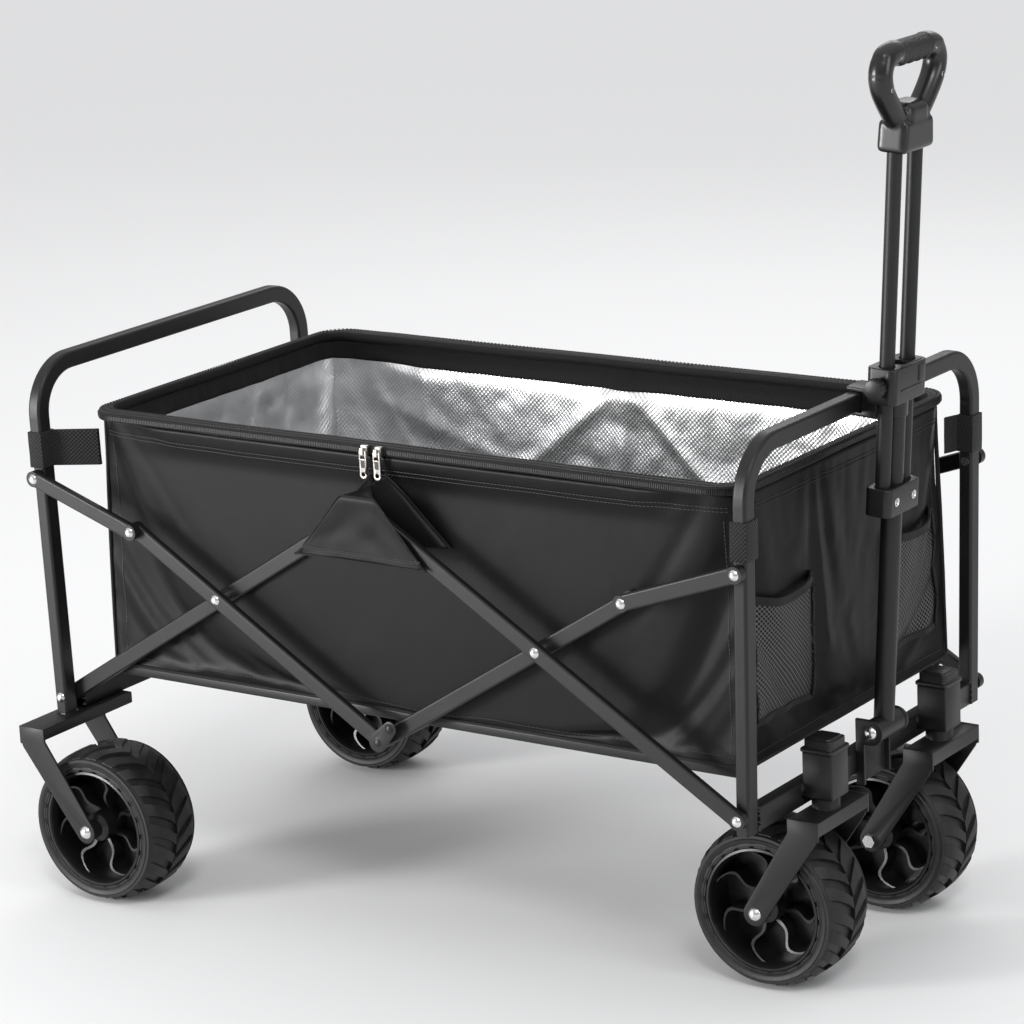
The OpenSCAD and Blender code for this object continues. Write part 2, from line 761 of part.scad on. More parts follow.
module handle_pivot_bolt() color(silver) {
    end = barrel_half + slide_gap + 4;
    cross_rod(pivot_x, pivot_z, -end, end, bolt_d);
    mirror([0, 1, 0]) dome(pivot_x, pivot_z, end, 14, 4);
    translate([pivot_x, end + 5, pivot_z]) rotate([90, 0, 0]) cylinder(d = 14, h = 5, $fn = 6);
}

module pull_tube() color(steel) on_handle() difference() {
    union() {
        cylinder(d = pull_tube_d, h = clamp_high);
        cross_rod(0, 0, -barrel_half, barrel_half, barrel_d);
    }
    translate([0, 0, barrel_d / 2 + 2]) cylinder(d = pull_tube_d - 2 * tube_wall, h = clamp_high);
    cross_rod(0, 0, -40, 40, bolt_d + 2 * slide_gap);
}

// Where the arch bar's centre lies, seen along the handle
bar_from_pivot = [
    arch_rise * sin(arch_lean) - pivot_ahead,
    foot_z + arch_rise * cos(arch_lean) - pivot_z
];
bar_back = bar_from_pivot[0] * cos(handle_lean) - bar_from_pivot[1] * sin(handle_lean);
bar_up = bar_from_pivot[0] * sin(handle_lean) + bar_from_pivot[1] * cos(handle_lean);
clamp_w = rod_spacing + rod_d + 13;

// The clamp on top of the fixed tube guides both rods, and its clip snaps on the arch bar
module handle_clamp() color(plastic) on_handle() difference() {
    knob_bore = 8.6;
    jaw = 4.5;
    slot = tube_y / 2 + 0.6;
    union() {
        translate([0, 0, clamp_low]) linear_extrude(clamp_high - clamp_low)
            round_rect(34, clamp_w, 8);
        translate([0, 0, clamp_low - 18]) cylinder(d = 26, h = 18.5);
        difference() {
            translate([bar_back - 10, -16, bar_up - slot - jaw])
                cube([-13 - bar_back + 10, 32, 2 * (slot + jaw)]);
            translate([bar_back - 11, -17, bar_up - slot])
                cube([11 + tube_x / 2 + 0.6, 34, 2 * slot]);
        }
        translate([-17, -16, clamp_low]) cube([6, 32, 12]);
    }
    translate([0, 0, clamp_low - 30]) cylinder(d = pull_tube_d, h = 30 + clamp_high);
    for (s = [-1, 1]) translate([0, s * rod_spacing / 2, clamp_low - 30])
        cylinder(d = rod_d + 2 * slide_gap, h = 30 + clamp_high);
    cross_rod(0, (clamp_low + clamp_high) / 2, -clamp_w / 2 - 1, -clamp_w / 2 + 5, knob_bore);
    translate([-8, clamp_w / 2 - 2, clamp_low + 12]) cube([16, 3, 14]);
}

knob_travel = 3;

// A ribbed button on the right of the clamp
module release_knob() color(plastic) on_handle() {
    z = (clamp_low + clamp_high) / 2;
    face = -clamp_w / 2 - knob_travel - 0.4;
    ribs = 16;
    cross_rod(0, z, face - 12, face, 20);
    for (i = [0:ribs - 1]) translate([0, 0, z]) rotate([0, i * 360 / ribs, 0])
        translate([9.4, face - 11, -0.8]) cube([1.6, 10, 1.6]);
    cross_rod(0, z, face - 1, -clamp_w / 2 + 1.6, 8);
}

// Ties the rods' low ends together and slides on the fixed tube
module sliding_collar() color(plastic) on_handle() difference() {
    translate([0, 0, collar_low]) linear_extrude(collar_h)
        round_rect(30, rod_spacing + rod_d + 10, 8);
    translate([0, 0, collar_low - 1])
        cylinder(d = pull_tube_d + 2 * slide_gap, h = collar_h + 2);
    for (s = [-1, 1]) translate([0, s * rod_spacing / 2, collar_low + 4]) cylinder(d = rod_d, h = 50);
}

module grip_rods() color(steel) on_handle() for (s = [-1, 1])
    translate([0, s * rod_spacing / 2, collar_low + 4]) difference() {
        len = neck_low + rod_socket - collar_low - 4;
        cylinder(d = rod_d, h = len);
        translate([0, 0, -1]) cylinder(d = rod_d - 2 * tube_wall, h = len + 2);
    }

// Points of an arc about a centre
function arc(centre, r, from, to, steps = 8) =
    [for (i = [0:steps]) centre + r * [cos(from + (to - from) * i / steps), sin(from + (to - from) * i / steps)]];

// A D-shaped grip: a neck on the rods, two arms and a top bar round the hand hole
module d_grip() color(plastic) on_handle() difference() {
    neck = rod_spacing / 2 + rod_d / 2 + 3;
    bar = 29;
    corner = 26;
    side = [grip_w / 2 - corner, grip_top - corner];
    hole = [grip_w / 2 - 37, grip_top - bar - 10];
    translate([grip_t / 2, 0, 0]) rotate([90, 0, -90]) linear_extrude(grip_t) difference() {
        polygon(concat(
            [[-neck, neck_low], [neck, neck_low], [neck, neck_low + 34]],
            arc(side, corner, -28, 90), arc([-side[0], side[1]], corner, 90, 208),
            [[-neck, neck_low + 34]]
        ));
        polygon(concat(
            arc(hole, 10, -35, 90), arc([-hole[0], hole[1]], 10, 90, 215),
            arc([0, neck_low + 52], 8, 215, 325)
        ));
    }
    for (s = [-1, 1]) translate([0, s * rod_spacing / 2, neck_low - 1])
        cylinder(d = rod_d, h = rod_socket + 1);
}

rear_arch();
rear_crossbar();
rear_fork_left();
rear_fork_right();
rear_axle_bolts();
rear_post_rivets();
bag_rear_wall();
bag_side_walls();
bag_floor();
floor_mat();
foil_liner();
zip_rim();
apex_flaps();
hem_rails();
rear_post_straps();
rear_risers();
rear_riser_rivets();
rear_struts();
rear_strut_caps();
front_struts();
front_strut_caps();
front_risers();
front_riser_rivets();
rear_stays();
rear_stay_rivets();
front_stays();
front_stay_rivets();
hub_cross_tube();
hub_brackets();
zip_sliders();
zip_pull_rear();
zip_pull_front();
front_arch();
front_crossbar();
caster_housings();
caster_caps();
handle_bracket();
bag_front_wall();
mesh_pockets();
front_post_straps();
front_post_rivets();
caster_fork_left();
caster_fork_right();
caster_bolts_left();
caster_bolts_right();
tyre_rear_left();
tyre_rear_right();
tyre_front_left();
tyre_front_right();
wheel_rear_left();
wheel_rear_right();
wheel_front_left();
wheel_front_right();
pull_tube();
handle_clamp();
handle_pivot_bolt();
sliding_collar();
grip_rods();
d_grip();
release_knob();
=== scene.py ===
import json
import math
import bmesh
import bpy
from mathutils import Matrix, Quaternion, Vector, noise

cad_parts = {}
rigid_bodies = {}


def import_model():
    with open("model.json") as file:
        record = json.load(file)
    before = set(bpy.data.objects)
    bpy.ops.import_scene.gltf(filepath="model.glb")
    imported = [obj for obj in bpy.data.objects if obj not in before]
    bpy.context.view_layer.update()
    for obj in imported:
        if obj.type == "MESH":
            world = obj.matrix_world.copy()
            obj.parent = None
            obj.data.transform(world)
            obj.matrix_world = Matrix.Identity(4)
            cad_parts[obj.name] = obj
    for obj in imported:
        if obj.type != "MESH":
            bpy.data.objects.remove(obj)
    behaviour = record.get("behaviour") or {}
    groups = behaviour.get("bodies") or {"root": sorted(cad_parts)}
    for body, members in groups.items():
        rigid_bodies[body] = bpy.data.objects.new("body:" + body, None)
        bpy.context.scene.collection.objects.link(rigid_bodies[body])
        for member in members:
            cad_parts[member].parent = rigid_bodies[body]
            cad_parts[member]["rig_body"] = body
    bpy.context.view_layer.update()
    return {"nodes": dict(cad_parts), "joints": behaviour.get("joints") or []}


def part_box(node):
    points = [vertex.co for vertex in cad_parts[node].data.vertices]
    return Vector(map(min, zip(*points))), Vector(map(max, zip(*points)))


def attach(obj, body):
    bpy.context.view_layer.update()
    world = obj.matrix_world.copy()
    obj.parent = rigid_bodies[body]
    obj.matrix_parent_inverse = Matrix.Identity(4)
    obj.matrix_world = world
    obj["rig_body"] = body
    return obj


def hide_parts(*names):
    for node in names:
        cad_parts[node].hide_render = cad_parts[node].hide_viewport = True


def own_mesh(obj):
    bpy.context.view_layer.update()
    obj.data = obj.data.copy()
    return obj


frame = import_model()
scene = bpy.context.scene
nodes = frame["nodes"]

# The camera, from a low three-quarter view of the front right
camera = dict(place=(2.29753, -3.33896, 1.52496), azimuth=34.8, elevation=15.06, roll=-2.73, lens=133.6)


def placed(name, data):
    obj = bpy.data.objects.new(name, data)
    scene.collection.objects.link(obj)
    return obj


def meshOf(name, bm):
    data = bpy.data.meshes.new(name)
    bm.to_mesh(data)
    bm.free()
    return data


def makeCamera(cfg):
    data = bpy.data.cameras.new("camera")
    data.lens = cfg["lens"]
    data.clip_end = 50
    obj = placed("camera", data)
    a, e = math.radians(cfg["azimuth"]), math.radians(cfg["elevation"])
    ahead = Vector((-math.sin(a) * math.cos(e), math.cos(a) * math.cos(e), -math.sin(e)))
    turn = ahead.to_track_quat("-Z", "Y") @ Quaternion((0, 0, 1), math.radians(cfg["roll"]))
    obj.location = cfg["place"]
    obj.rotation_euler = turn.to_euler()
    scene.camera = obj


makeCamera(camera)
print("stage: camera")


# Shading: a socket that does sums, and a material that hands out nodes
class Sock:
    def __init__(self, shade, socket):
        self.shade = shade
        self.socket = socket

    def sums(self, operation, *values):
        return self.shade.node("ShaderNodeMath", {"operation": operation}, values)

    def __add__(self, other):
        return self.sums("ADD", self, other)

    def __sub__(self, other):
        return self.sums("SUBTRACT", self, other)

    def __rsub__(self, other):
        return self.sums("SUBTRACT", other, self)

    def __mul__(self, other):
        return self.sums("MULTIPLY", self, other)

    __radd__ = __add__
    __rmul__ = __mul__

    def sin(self):
        return self.sums("SINE", self)

    def abs(self):
        return self.sums("ABSOLUTE", self)

    def over(self, limit):
        return self.sums("GREATER_THAN", self, limit)

    def most(self, other):
        return self.sums("MAXIMUM", self, other)


class Shade:
    def __init__(self, name, **fixed):
        self.material = bpy.data.materials.new(name)
        self.material.use_nodes = True
        self.tree = self.material.node_tree
        self.skin = self.tree.nodes["Principled BSDF"]
        self.put(**fixed)

    def node(self, kind, settings=None, inputs=(), output=0):
        made = self.tree.nodes.new(kind)
        for key, value in (settings or {}).items():
            setattr(made, key, value)
        for key, value in inputs.items() if isinstance(inputs, dict) else enumerate(inputs):
            self.plug(value, made.inputs[key])
        return Sock(self, made.outputs[output])

    def plug(self, value, target):
        if isinstance(value, Sock):
            self.tree.links.new(value.socket, target)
        else:
            target.default_value = value

    def put(self, **inputs):
        for key, value in inputs.items():
            target = self.skin.inputs[key.replace("_", " ")]
            self.plug((*value, 1) if isinstance(value, tuple) and len(value) == 3 else value, target)

    def place(self, kind="Object"):
        return self.node("ShaderNodeTexCoord", output=kind)

    def uv(self):
        split = self.node("ShaderNodeSeparateXYZ", inputs=[self.place("UV")]).socket.node
        return Sock(self, split.outputs[0]), Sock(self, split.outputs[1])

    def noise(self, size, detail=3, stretch=(1, 1, 1), rough=0.5):
        at = self.node("ShaderNodeMapping", inputs={"Vector": self.place(), "Scale": stretch})
        return self.node("ShaderNodeTexNoise",
                         inputs={"Vector": at, "Scale": 1 / size, "Detail": detail, "Roughness": rough})

    def cells(self, size):
        return self.node("ShaderNodeTexVoronoi", inputs={"Vector": self.place(), "Scale": 1 / size})

    def mix(self, share, a, b):
        return self.node("ShaderNodeMix", {"data_type": "RGBA"}, {0: share, 6: (*a, 1), 7: (*b, 1)}, 2)

    def bump(self, height, depth, strength=1.0, under=None):
        inputs = {"Height": height, "Distance": depth, "Strength": strength}
        if under:
            inputs["Normal"] = under
        return self.node("ShaderNodeBump", inputs=inputs)


def powderCoat(name, dark, light, roughness):
    s = Shade(name, Specular_IOR_Level=0.36)
    grain = s.noise(0.0011, 2)
    cloud = s.noise(0.06, 4)
    scuff = (s.noise(0.02, 6, (1, 1, 6), 0.7) - 0.64).most(0) * 5
    s.put(Base_Color=s.mix(cloud * 0.6 + scuff, dark, light),
          Roughness=cloud * 0.14 + grain * 0.08 + roughness + scuff * 0.12,
          Normal=s.bump(grain, 0.00012, 0.5, s.bump(s.noise(0.012, 2), 0.0004, 0.25)))
    return s.material


def brightMetal(name, light, dark, roughness):
    s = Shade(name, Metallic=1.0)
    cloud = s.noise(0.004, 4)
    s.put(Base_Color=s.mix(cloud, light, dark), Roughness=s.noise(0.002, 3) * 0.2 + roughness,
          Normal=s.bump(s.noise(0.0012, 2, (1, 1, 5)), 0.00006, 0.4))
    return s.material


def weave(name, dark, light, pitch, depth, roughness, sheen, wrinkle, shine):
    s = Shade(name, Sheen_Weight=sheen, Sheen_Roughness=0.45, Specular_IOR_Level=shine)
    u, v = s.uv()
    turn = math.pi / pitch
    knots = (u * turn).sin() * (v * turn).sin()
    cloud = s.noise(0.09, 4)
    creases = s.bump(s.noise(0.05, 3, (1, 1, 0.5)), wrinkle, 0.6)
    s.put(Base_Color=s.mix(cloud * 0.7 + knots.abs() * 0.3, dark, light),
          Roughness=cloud * 0.12 + knots * 0.05 + roughness,
          Normal=s.bump(knots, depth, 0.7, creases))
    return s.material


def foilSkin():
    s = Shade("foilSkin", Metallic=1.0)
    u, v = s.uv()
    turn = 2 * math.pi / 0.0056
    wander = s.noise(0.05, 2) * 3
    bubbles = (u * turn + wander).sin() * (v * turn + wander).sin()
    crumple = s.noise(0.03, 4, rough=0.5)
    facet = s.cells(0.06)
    dull = s.noise(0.05, 3)
    s.put(Base_Color=s.mix(dull, (0.95, 0.95, 0.955), (0.80, 0.805, 0.81)),
          Roughness=dull * 0.12 + 0.30,
          Normal=s.bump(bubbles, 0.00024, 0.55, s.bump(crumple, 0.003, 0.35, s.bump(facet, 0.004, 0.3))))
    return s.material


def moulded(name, dark, light, roughness, grainy=0.5):
    s = Shade(name, Specular_IOR_Level=0.42)
    grain = s.noise(0.0009, 3)
    cloud = s.noise(0.04, 3)
    s.put(Base_Color=s.mix(cloud, dark, light), Roughness=cloud * 0.12 + grain * 0.1 + roughness,
          Normal=s.bump(grain, 0.00012, grainy))
    return s.material


def gripSkin():
    s = Shade("gripPlastic", Specular_IOR_Level=0.5)
    pad = s.node("ShaderNodeAttribute", {"attribute_name": "pad"}, output="Fac")
    leather = s.cells(0.0022)
    cloud = s.noise(0.03, 3)
    s.put(Base_Color=s.mix(cloud, (0.005, 0.005, 0.0055), (0.010, 0.010, 0.0105)),
          Roughness=cloud * 0.1 + 0.24 + pad * 0.25, Normal=s.bump(leather * pad, 0.0009, 0.9))
    return s.material


def rubber():
    s = Shade("tyreRubber", Specular_IOR_Level=0.4)
    grain = s.noise(0.0012, 3)
    dust = (s.noise(0.02, 5, rough=0.65) - 0.45).most(0) * 1.6
    s.put(Base_Color=s.mix(dust, (0.007, 0.007, 0.007), (0.026, 0.025, 0.024)),
          Roughness=dust * 0.25 + 0.5, Normal=s.bump(grain, 0.0002, 0.5))
    return s.material


def netting():
    s = Shade("pocketMesh", Roughness=0.4)
    u, v = s.uv()
    turn = math.pi / 0.0056
    threads = ((u + v) * turn).sin().abs().most(((u - v) * turn).sin().abs())
    s.put(Base_Color=s.mix(threads, (0.04, 0.04, 0.04), (0.10, 0.10, 0.10)), Alpha=threads.over(0.95))
    return s.material


def flatShade(name, colour, roughness):
    s = Shade(name)
    s.put(Base_Color=s.mix(s.noise(0.002, 2), colour, tuple(c * 1.6 for c in colour)), Roughness=roughness)
    return s.material


steel = powderCoat("blackSteel", (0.006, 0.006, 0.0063), (0.017, 0.017, 0.0175), 0.3)
rivetMetal = brightMetal("brightSteel", (0.86, 0.86, 0.85), (0.6, 0.6, 0.6), 0.14)
nickel = brightMetal("zipNickel", (0.8, 0.78, 0.74), (0.38, 0.34, 0.3), 0.2)
cloth = weave("boxCloth", (0.003, 0.003, 0.0032), (0.0062, 0.0062, 0.0065), pitch=0.0009, depth=0.00003,
              roughness=0.36, sheen=0.0, wrinkle=0.002, shine=0.15)
tape = weave("zipTape", (0.003, 0.003, 0.003), (0.008, 0.008, 0.008), pitch=0.0013, depth=0.0003,
             roughness=0.55, sheen=0.04, wrinkle=0.001, shine=0.25)
sleeve = weave("postWebbing", (0.004, 0.004, 0.004), (0.016, 0.016, 0.016), pitch=0.0022, depth=0.0007,
               roughness=0.6, sheen=0.08, wrinkle=0.001, shine=0.25)
foil = foilSkin()
plastic = moulded("blackPlastic", (0.005, 0.005, 0.0053), (0.010, 0.010, 0.0105), 0.26)
rimPlastic = moulded("rimPlastic", (0.006, 0.006, 0.006), (0.011, 0.011, 0.011), 0.2, 0.25)
gripPlastic = gripSkin()
tyreRubber = rubber()
mesh = netting()
thread = flatShade("stitchThread", (0.018, 0.018, 0.018), 0.6)
print("stage: materials")


# Shared shapes
def finish(name, bm, node, material, replaces=(), smooth=40):
    data = meshOf(name, bm)
    obj = placed(name, data)
    data.materials.clear()
    data.materials.append(material)
    data.shade_smooth()
    data.set_sharp_from_angle(angle=math.radians(smooth))
    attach(obj, nodes[node]["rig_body"])
    if replaces:
        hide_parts(*replaces)
    return obj


def outward(bm):
    bmesh.ops.remove_doubles(bm, verts=bm.verts, dist=1e-6)
    bmesh.ops.recalc_face_normals(bm, faces=bm.faces)


def tube(points, radius=0.001, profile=None, closed=False, radii=None, sides=3):
    made = []
    path = bpy.data.curves.new("path", "CURVE")
    path.dimensions = "3D"
    path.twist_mode = "Z_UP"
    path.use_fill_caps = not closed
    if profile:
        flat = bpy.data.curves.new("profile", "CURVE")
        flat.dimensions = "2D"
        ring = flat.splines.new("POLY")
        ring.points.add(len(profile) - 1)
        ring.use_cyclic_u = True
        for point, at in zip(ring.points, profile):
            point.co = (*at, 0, 1)
        path.bevel_mode = "OBJECT"
        path.bevel_object = placed("profile", flat)
        made.append(path.bevel_object)
    else:
        path.bevel_depth = radius
        path.bevel_resolution = sides
    line = path.splines.new("POLY")
    line.points.add(len(points) - 1)
    line.use_cyclic_u = closed
    for i, (point, at) in enumerate(zip(line.points, points)):
        point.co = (*at, 1)
        point.radius = radii[i] if radii else 1
    made.append(placed("path", path))
    bm = bmesh.new()
    bm.from_mesh(evaluated(made[-1]))
    for obj in made:
        bpy.data.objects.remove(obj)
    outward(bm)
    return bm


def ease(t):
    t = max(0.0, min(1.0, t))
    return t * t * (3 - 2 * t)


def merge(target, source, matrix=Matrix.Identity(4)):
    source.transform(matrix)
    data = meshOf("part", source)
    target.from_mesh(data)
    bpy.data.meshes.remove(data)


def rounded(bm, edges, width, segments=2, **more):
    bmesh.ops.bevel(bm, geom=edges, offset=width, offset_type="OFFSET", segments=segments, profile=0.5,
                    affect="EDGES", material=-1, **more)


def sharpEdges(bm, least):
    return [e for e in bm.edges if e.is_manifold and e.calc_face_angle(0) > math.radians(least)]


def cutAlong(bm, axis, least, cuts):
    long = [e for e in bm.edges if abs(e.verts[0].co[axis] - e.verts[1].co[axis]) > least]
    bmesh.ops.subdivide_edges(bm, edges=long, cuts=cuts)


def block(size, at=(0, 0, 0), bevel=0.0, segments=3):
    bm = bmesh.new()
    bmesh.ops.create_cube(bm, size=1)
    bmesh.ops.scale(bm, vec=size, verts=bm.verts)
    if bevel:
        rounded(bm, bm.edges[:], bevel, segments)
    bmesh.ops.translate(bm, vec=at, verts=bm.verts)
    return bm


def spun(profile, steps, axis=(0, 1, 0)):
    bm = bmesh.new()
    verts = [bm.verts.new((r, y, 0)) for r, y in profile]
    edges = [bm.edges.new(pair) for pair in zip(verts, verts[1:])]
    bmesh.ops.spin(bm, geom=verts + edges, cent=(0, 0, 0), axis=axis, angle=math.tau, steps=steps,
                   use_merge=True)
    outward(bm)
    return bm


def evaluated(obj):
    return bpy.data.meshes.new_from_object(obj.evaluated_get(bpy.context.evaluated_depsgraph_get()))


def shaped(obj, *modifiers):
    for kind, settings in modifiers:
        made = obj.modifiers.new(kind.lower(), kind)
        for key, value in settings.items():
            setattr(made, key, value)
    data = evaluated(obj)
    obj.modifiers.clear()
    obj.data = data
    return obj


def cadCopy(node):
    bm = bmesh.new()
    bm.from_mesh(nodes[node].data)
    bmesh.ops.remove_doubles(bm, verts=bm.verts, dist=1e-5)
    bmesh.ops.dissolve_limit(bm, angle_limit=math.radians(0.7), verts=bm.verts, edges=bm.edges)
    return bm


def camel(node):
    first, *rest = node.split("_")
    return first + "".join(word.capitalize() for word in rest)


def softened(node, width, material, segments=2, least=28):
    bm = cadCopy(node)
    rounded(bm, sharpEdges(bm, least), width, segments, clamp_overlap=False, loop_slide=True)
    return finish(camel(node), bm, node, material, [node], 50)


# Steel and fasteners that stay as the frame has them
plain = [
    (steel, "rear_arch front_arch rear_risers front_risers rear_struts front_struts rear_stays front_stays "
            "hub_cross_tube pull_tube grip_rods"),
    (plastic, "rear_strut_caps front_strut_caps"),
    (rivetMetal, "rear_axle_bolts rear_post_rivets rear_riser_rivets front_riser_rivets rear_stay_rivets "
                 "front_stay_rivets front_post_rivets caster_bolts_left caster_bolts_right "
                 "handle_pivot_bolt"),
]
for material, names in plain:
    for node in names.split():
        for slot in nodes[node].material_slots:
            slot.material = material

# Edges that catch the light: each node with its rounding
edged = [
    (steel, "black_steel", dict(rear_crossbar=0.0012, front_crossbar=0.0012, rear_fork_left=0.0006,
                                rear_fork_right=0.0006, caster_fork_left=0.0006, caster_fork_right=0.0006,
                                caster_housings=0.0016, handle_bracket=0.0007, hub_brackets=0.0004)),
    (plastic, "black_plastic", dict(caster_caps=0.001, handle_clamp=0.0011, sliding_collar=0.0011,
                                    release_knob=0.0004)),
    (nickel, "zip_nickel", dict(zip_sliders=0.0004)),
]
for material, slot, widths in edged:
    for node, width in widths.items():
        softened(node, width, material)
print("stage: frame")

# Wheels
wheel = dict(lugs=22, lugHeight=0.0042, lugWidth=0.0125, skew=0.30, spokes=7, spokeDepth=0.030, rings=96,
             shoulder=0.0062, root=0.0022, hubR=0.017)


def treadRadius(y, half, top, cfg):
    return top - cfg["shoulder"] * min(1.0, abs(y) / half) ** 4


def tyreMesh(outer, half, rimR, cfg):
    top = outer - cfg["lugHeight"]
    wall = [
        (rimR, half - 0.004), (rimR + 0.0025, half - 0.001), (rimR + 0.0045, half - 0.0022),
        (rimR + 0.006, half - 0.0008), (rimR + 0.0095, half), (rimR + 0.0105, half - 0.0012),
        (rimR + 0.0135, half - 0.0014), (outer - 0.0085, half - 0.0035), (outer - 0.0062, half - 0.0075),
    ]
    crown = [(treadRadius(y, half, top, cfg), y) for y in (half * k / 8 for k in range(6, -7, -1))]
    bm = spun(wall + crown + [(r, -y) for r, y in reversed(wall)] + [wall[0]], cfg["rings"])
    for side in (-1, 1):
        for i in range(cfg["lugs"]):
            lug = bmesh.new()
            bmesh.ops.create_cube(lug, size=1)
            cutAlong(lug, 1, 0.5, 5)
            start = math.tau * (i + (0.5 if side > 0 else 0)) / cfg["lugs"]
            for v in lug.verts:
                along = v.co.y + 0.5  # 0 at the middle of the tread, 1 down the shoulder
                y = half * (0.02 + 1.0 * min(along, 0.94))
                drop = 0.009 * max(0.0, along - 0.78) / 0.22
                foot = treadRadius(y, half, top, cfg) - drop - cfg["root"]
                radius = foot + (cfg["root"] + cfg["lugHeight"] * (1 - 0.25 * along)) * (v.co.z + 0.5)
                radius = min(radius, outer)
                width = cfg["lugWidth"] * (1.1 - 0.35 * (v.co.z + 0.5) * 0.5 + 0.35 * along)
                angle = start + cfg["skew"] * along ** 0.8 + v.co.x * width / outer
                v.co = (radius * math.cos(angle), side * y, radius * math.sin(angle))
            bmesh.ops.recalc_face_normals(lug, faces=lug.faces)
            merge(bm, lug)
    return bm


def rimMesh(rimR, half, hubHalf, cfg):
    hubR, lip = cfg["hubR"], half - 0.002
    barrel = [
        (rimR, -lip + 0.003), (rimR - 0.0008, -lip), (rimR - 0.0032, -lip - 0.0006),
        (rimR - 0.005, -lip + 0.002), (rimR - 0.0056, -lip + 0.012), (rimR - 0.0062, 0),
        (rimR - 0.0056, lip - 0.012), (rimR - 0.005, lip - 0.002), (rimR - 0.0032, lip + 0.0006),
        (rimR - 0.0008, lip), (rimR, lip - 0.003), (rimR, -lip + 0.003),
    ]
    bm = spun(barrel, cfg["rings"])
    core = [
        (0.0044, -hubHalf), (hubR * 0.55, -hubHalf), (hubR * 0.62, -hubHalf + 0.001),
        (hubR * 0.62, -hubHalf + 0.013), (hubR * 0.95, -hubHalf + 0.017), (hubR, -hubHalf + 0.02),
        (hubR, hubHalf - 0.02), (hubR * 0.95, hubHalf - 0.017), (hubR * 0.62, hubHalf - 0.013),
        (hubR * 0.62, hubHalf - 0.001), (hubR * 0.55, hubHalf), (0.0044, hubHalf), (0.0044, -hubHalf),
    ]
    merge(bm, spun(core, 48))
    web = [(hubR - 0.002, -0.0035), (rimR - 0.005, -0.0035), (rimR - 0.005, 0.0035), (hubR - 0.002, 0.0035),
           (hubR - 0.002, -0.0035)]
    merge(bm, spun(web, 64))
    for i in range(cfg["spokes"]):
        spoke = bmesh.new()
        bmesh.ops.create_cube(spoke, size=1)
        cutAlong(spoke, 0, 0.5, 11)
        rims = [e for e in spoke.edges if abs(e.verts[0].co.z) > 0.4 and e.calc_face_angle(0) > 1
                and abs(e.verts[0].co.x - e.verts[1].co.x) > 0.01]
        rounded(spoke, rims, 0.16)
        for v in spoke.verts:
            out = v.co.x + 0.5
            radius = hubR - 0.002 + out * (rimR - 0.0045 - hubR + 0.002)
            swing = 0.62 * (out - 0.5) + 0.20 * math.sin(math.tau * out)
            thick = 0.0046 + 0.0026 * abs(2 * out - 1) ** 2
            deep = cfg["spokeDepth"] * (0.55 + 0.45 * out)
            angle = math.tau * i / cfg["spokes"] + swing + v.co.z * thick / radius
            v.co = (radius * math.cos(angle), v.co.y * deep * 2, radius * math.sin(angle))
        bmesh.ops.recalc_face_normals(spoke, faces=spoke.faces)
        merge(bm, spoke)
    return bm


def makeWheels(cfg):
    names = ["rear_left", "rear_right", "front_left", "front_right"]
    for i, name in enumerate(names):
        lo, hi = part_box("tyre_" + name)
        rimLo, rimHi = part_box("wheel_" + name)
        centre, outer, half = (lo + hi) / 2, (hi.z - lo.z) / 2, (hi.y - lo.y) / 2
        rimR = (rimHi.z - rimLo.z) / 2
        flip = Matrix.Scale(-1, 4, (0, 1, 0)) if name.endswith("left") else Matrix.Identity(4)
        spot = Matrix.Translation(centre) @ flip @ Matrix.Rotation(0.31 * i + 0.1, 4, "Y")
        parts = [("tyre", tyreMesh(outer, half, rimR, cfg), tyreRubber, "tyre_rubber"),
                 ("rim", rimMesh(rimR, half, (rimHi.y - rimLo.y) / 2, cfg), rimPlastic, "black_plastic")]
        for kind, bm, material, slot in parts:
            bm.transform(spot)
            if flip != Matrix.Identity(4):
                bmesh.ops.reverse_faces(bm, faces=bm.faces)
            node = ("tyre_" if kind == "tyre" else "wheel_") + name
            finish(camel(kind + "_" + name), bm, node, material, [node], 32)


makeWheels(wheel)
print("stage: wheels")

# Weld beads: a rough bead of molten steel along each joint
weld = dict(radius=0.0021, step=0.0022, ripple=0.22, rough=0.35, clear=0.001, plateY=(0.2302, 0.2498),
            endY=(0.231, 0.249), halfX=0.007, endX=0.008)


def bead(target, start, end, cfg, seed):
    start, end = Vector(start), Vector(end)
    count = max(4, int((end - start).length / cfg["step"]))
    points = [start.lerp(end, i / count) for i in range(count + 1)]
    radii = [1 + cfg["ripple"] * math.sin(i * 2.2) + cfg["rough"] * noise.noise(Vector((i * 0.7, seed, 0)))
             for i in range(count + 1)]
    merge(target, tube(points, cfg["radius"], radii=radii, sides=2))


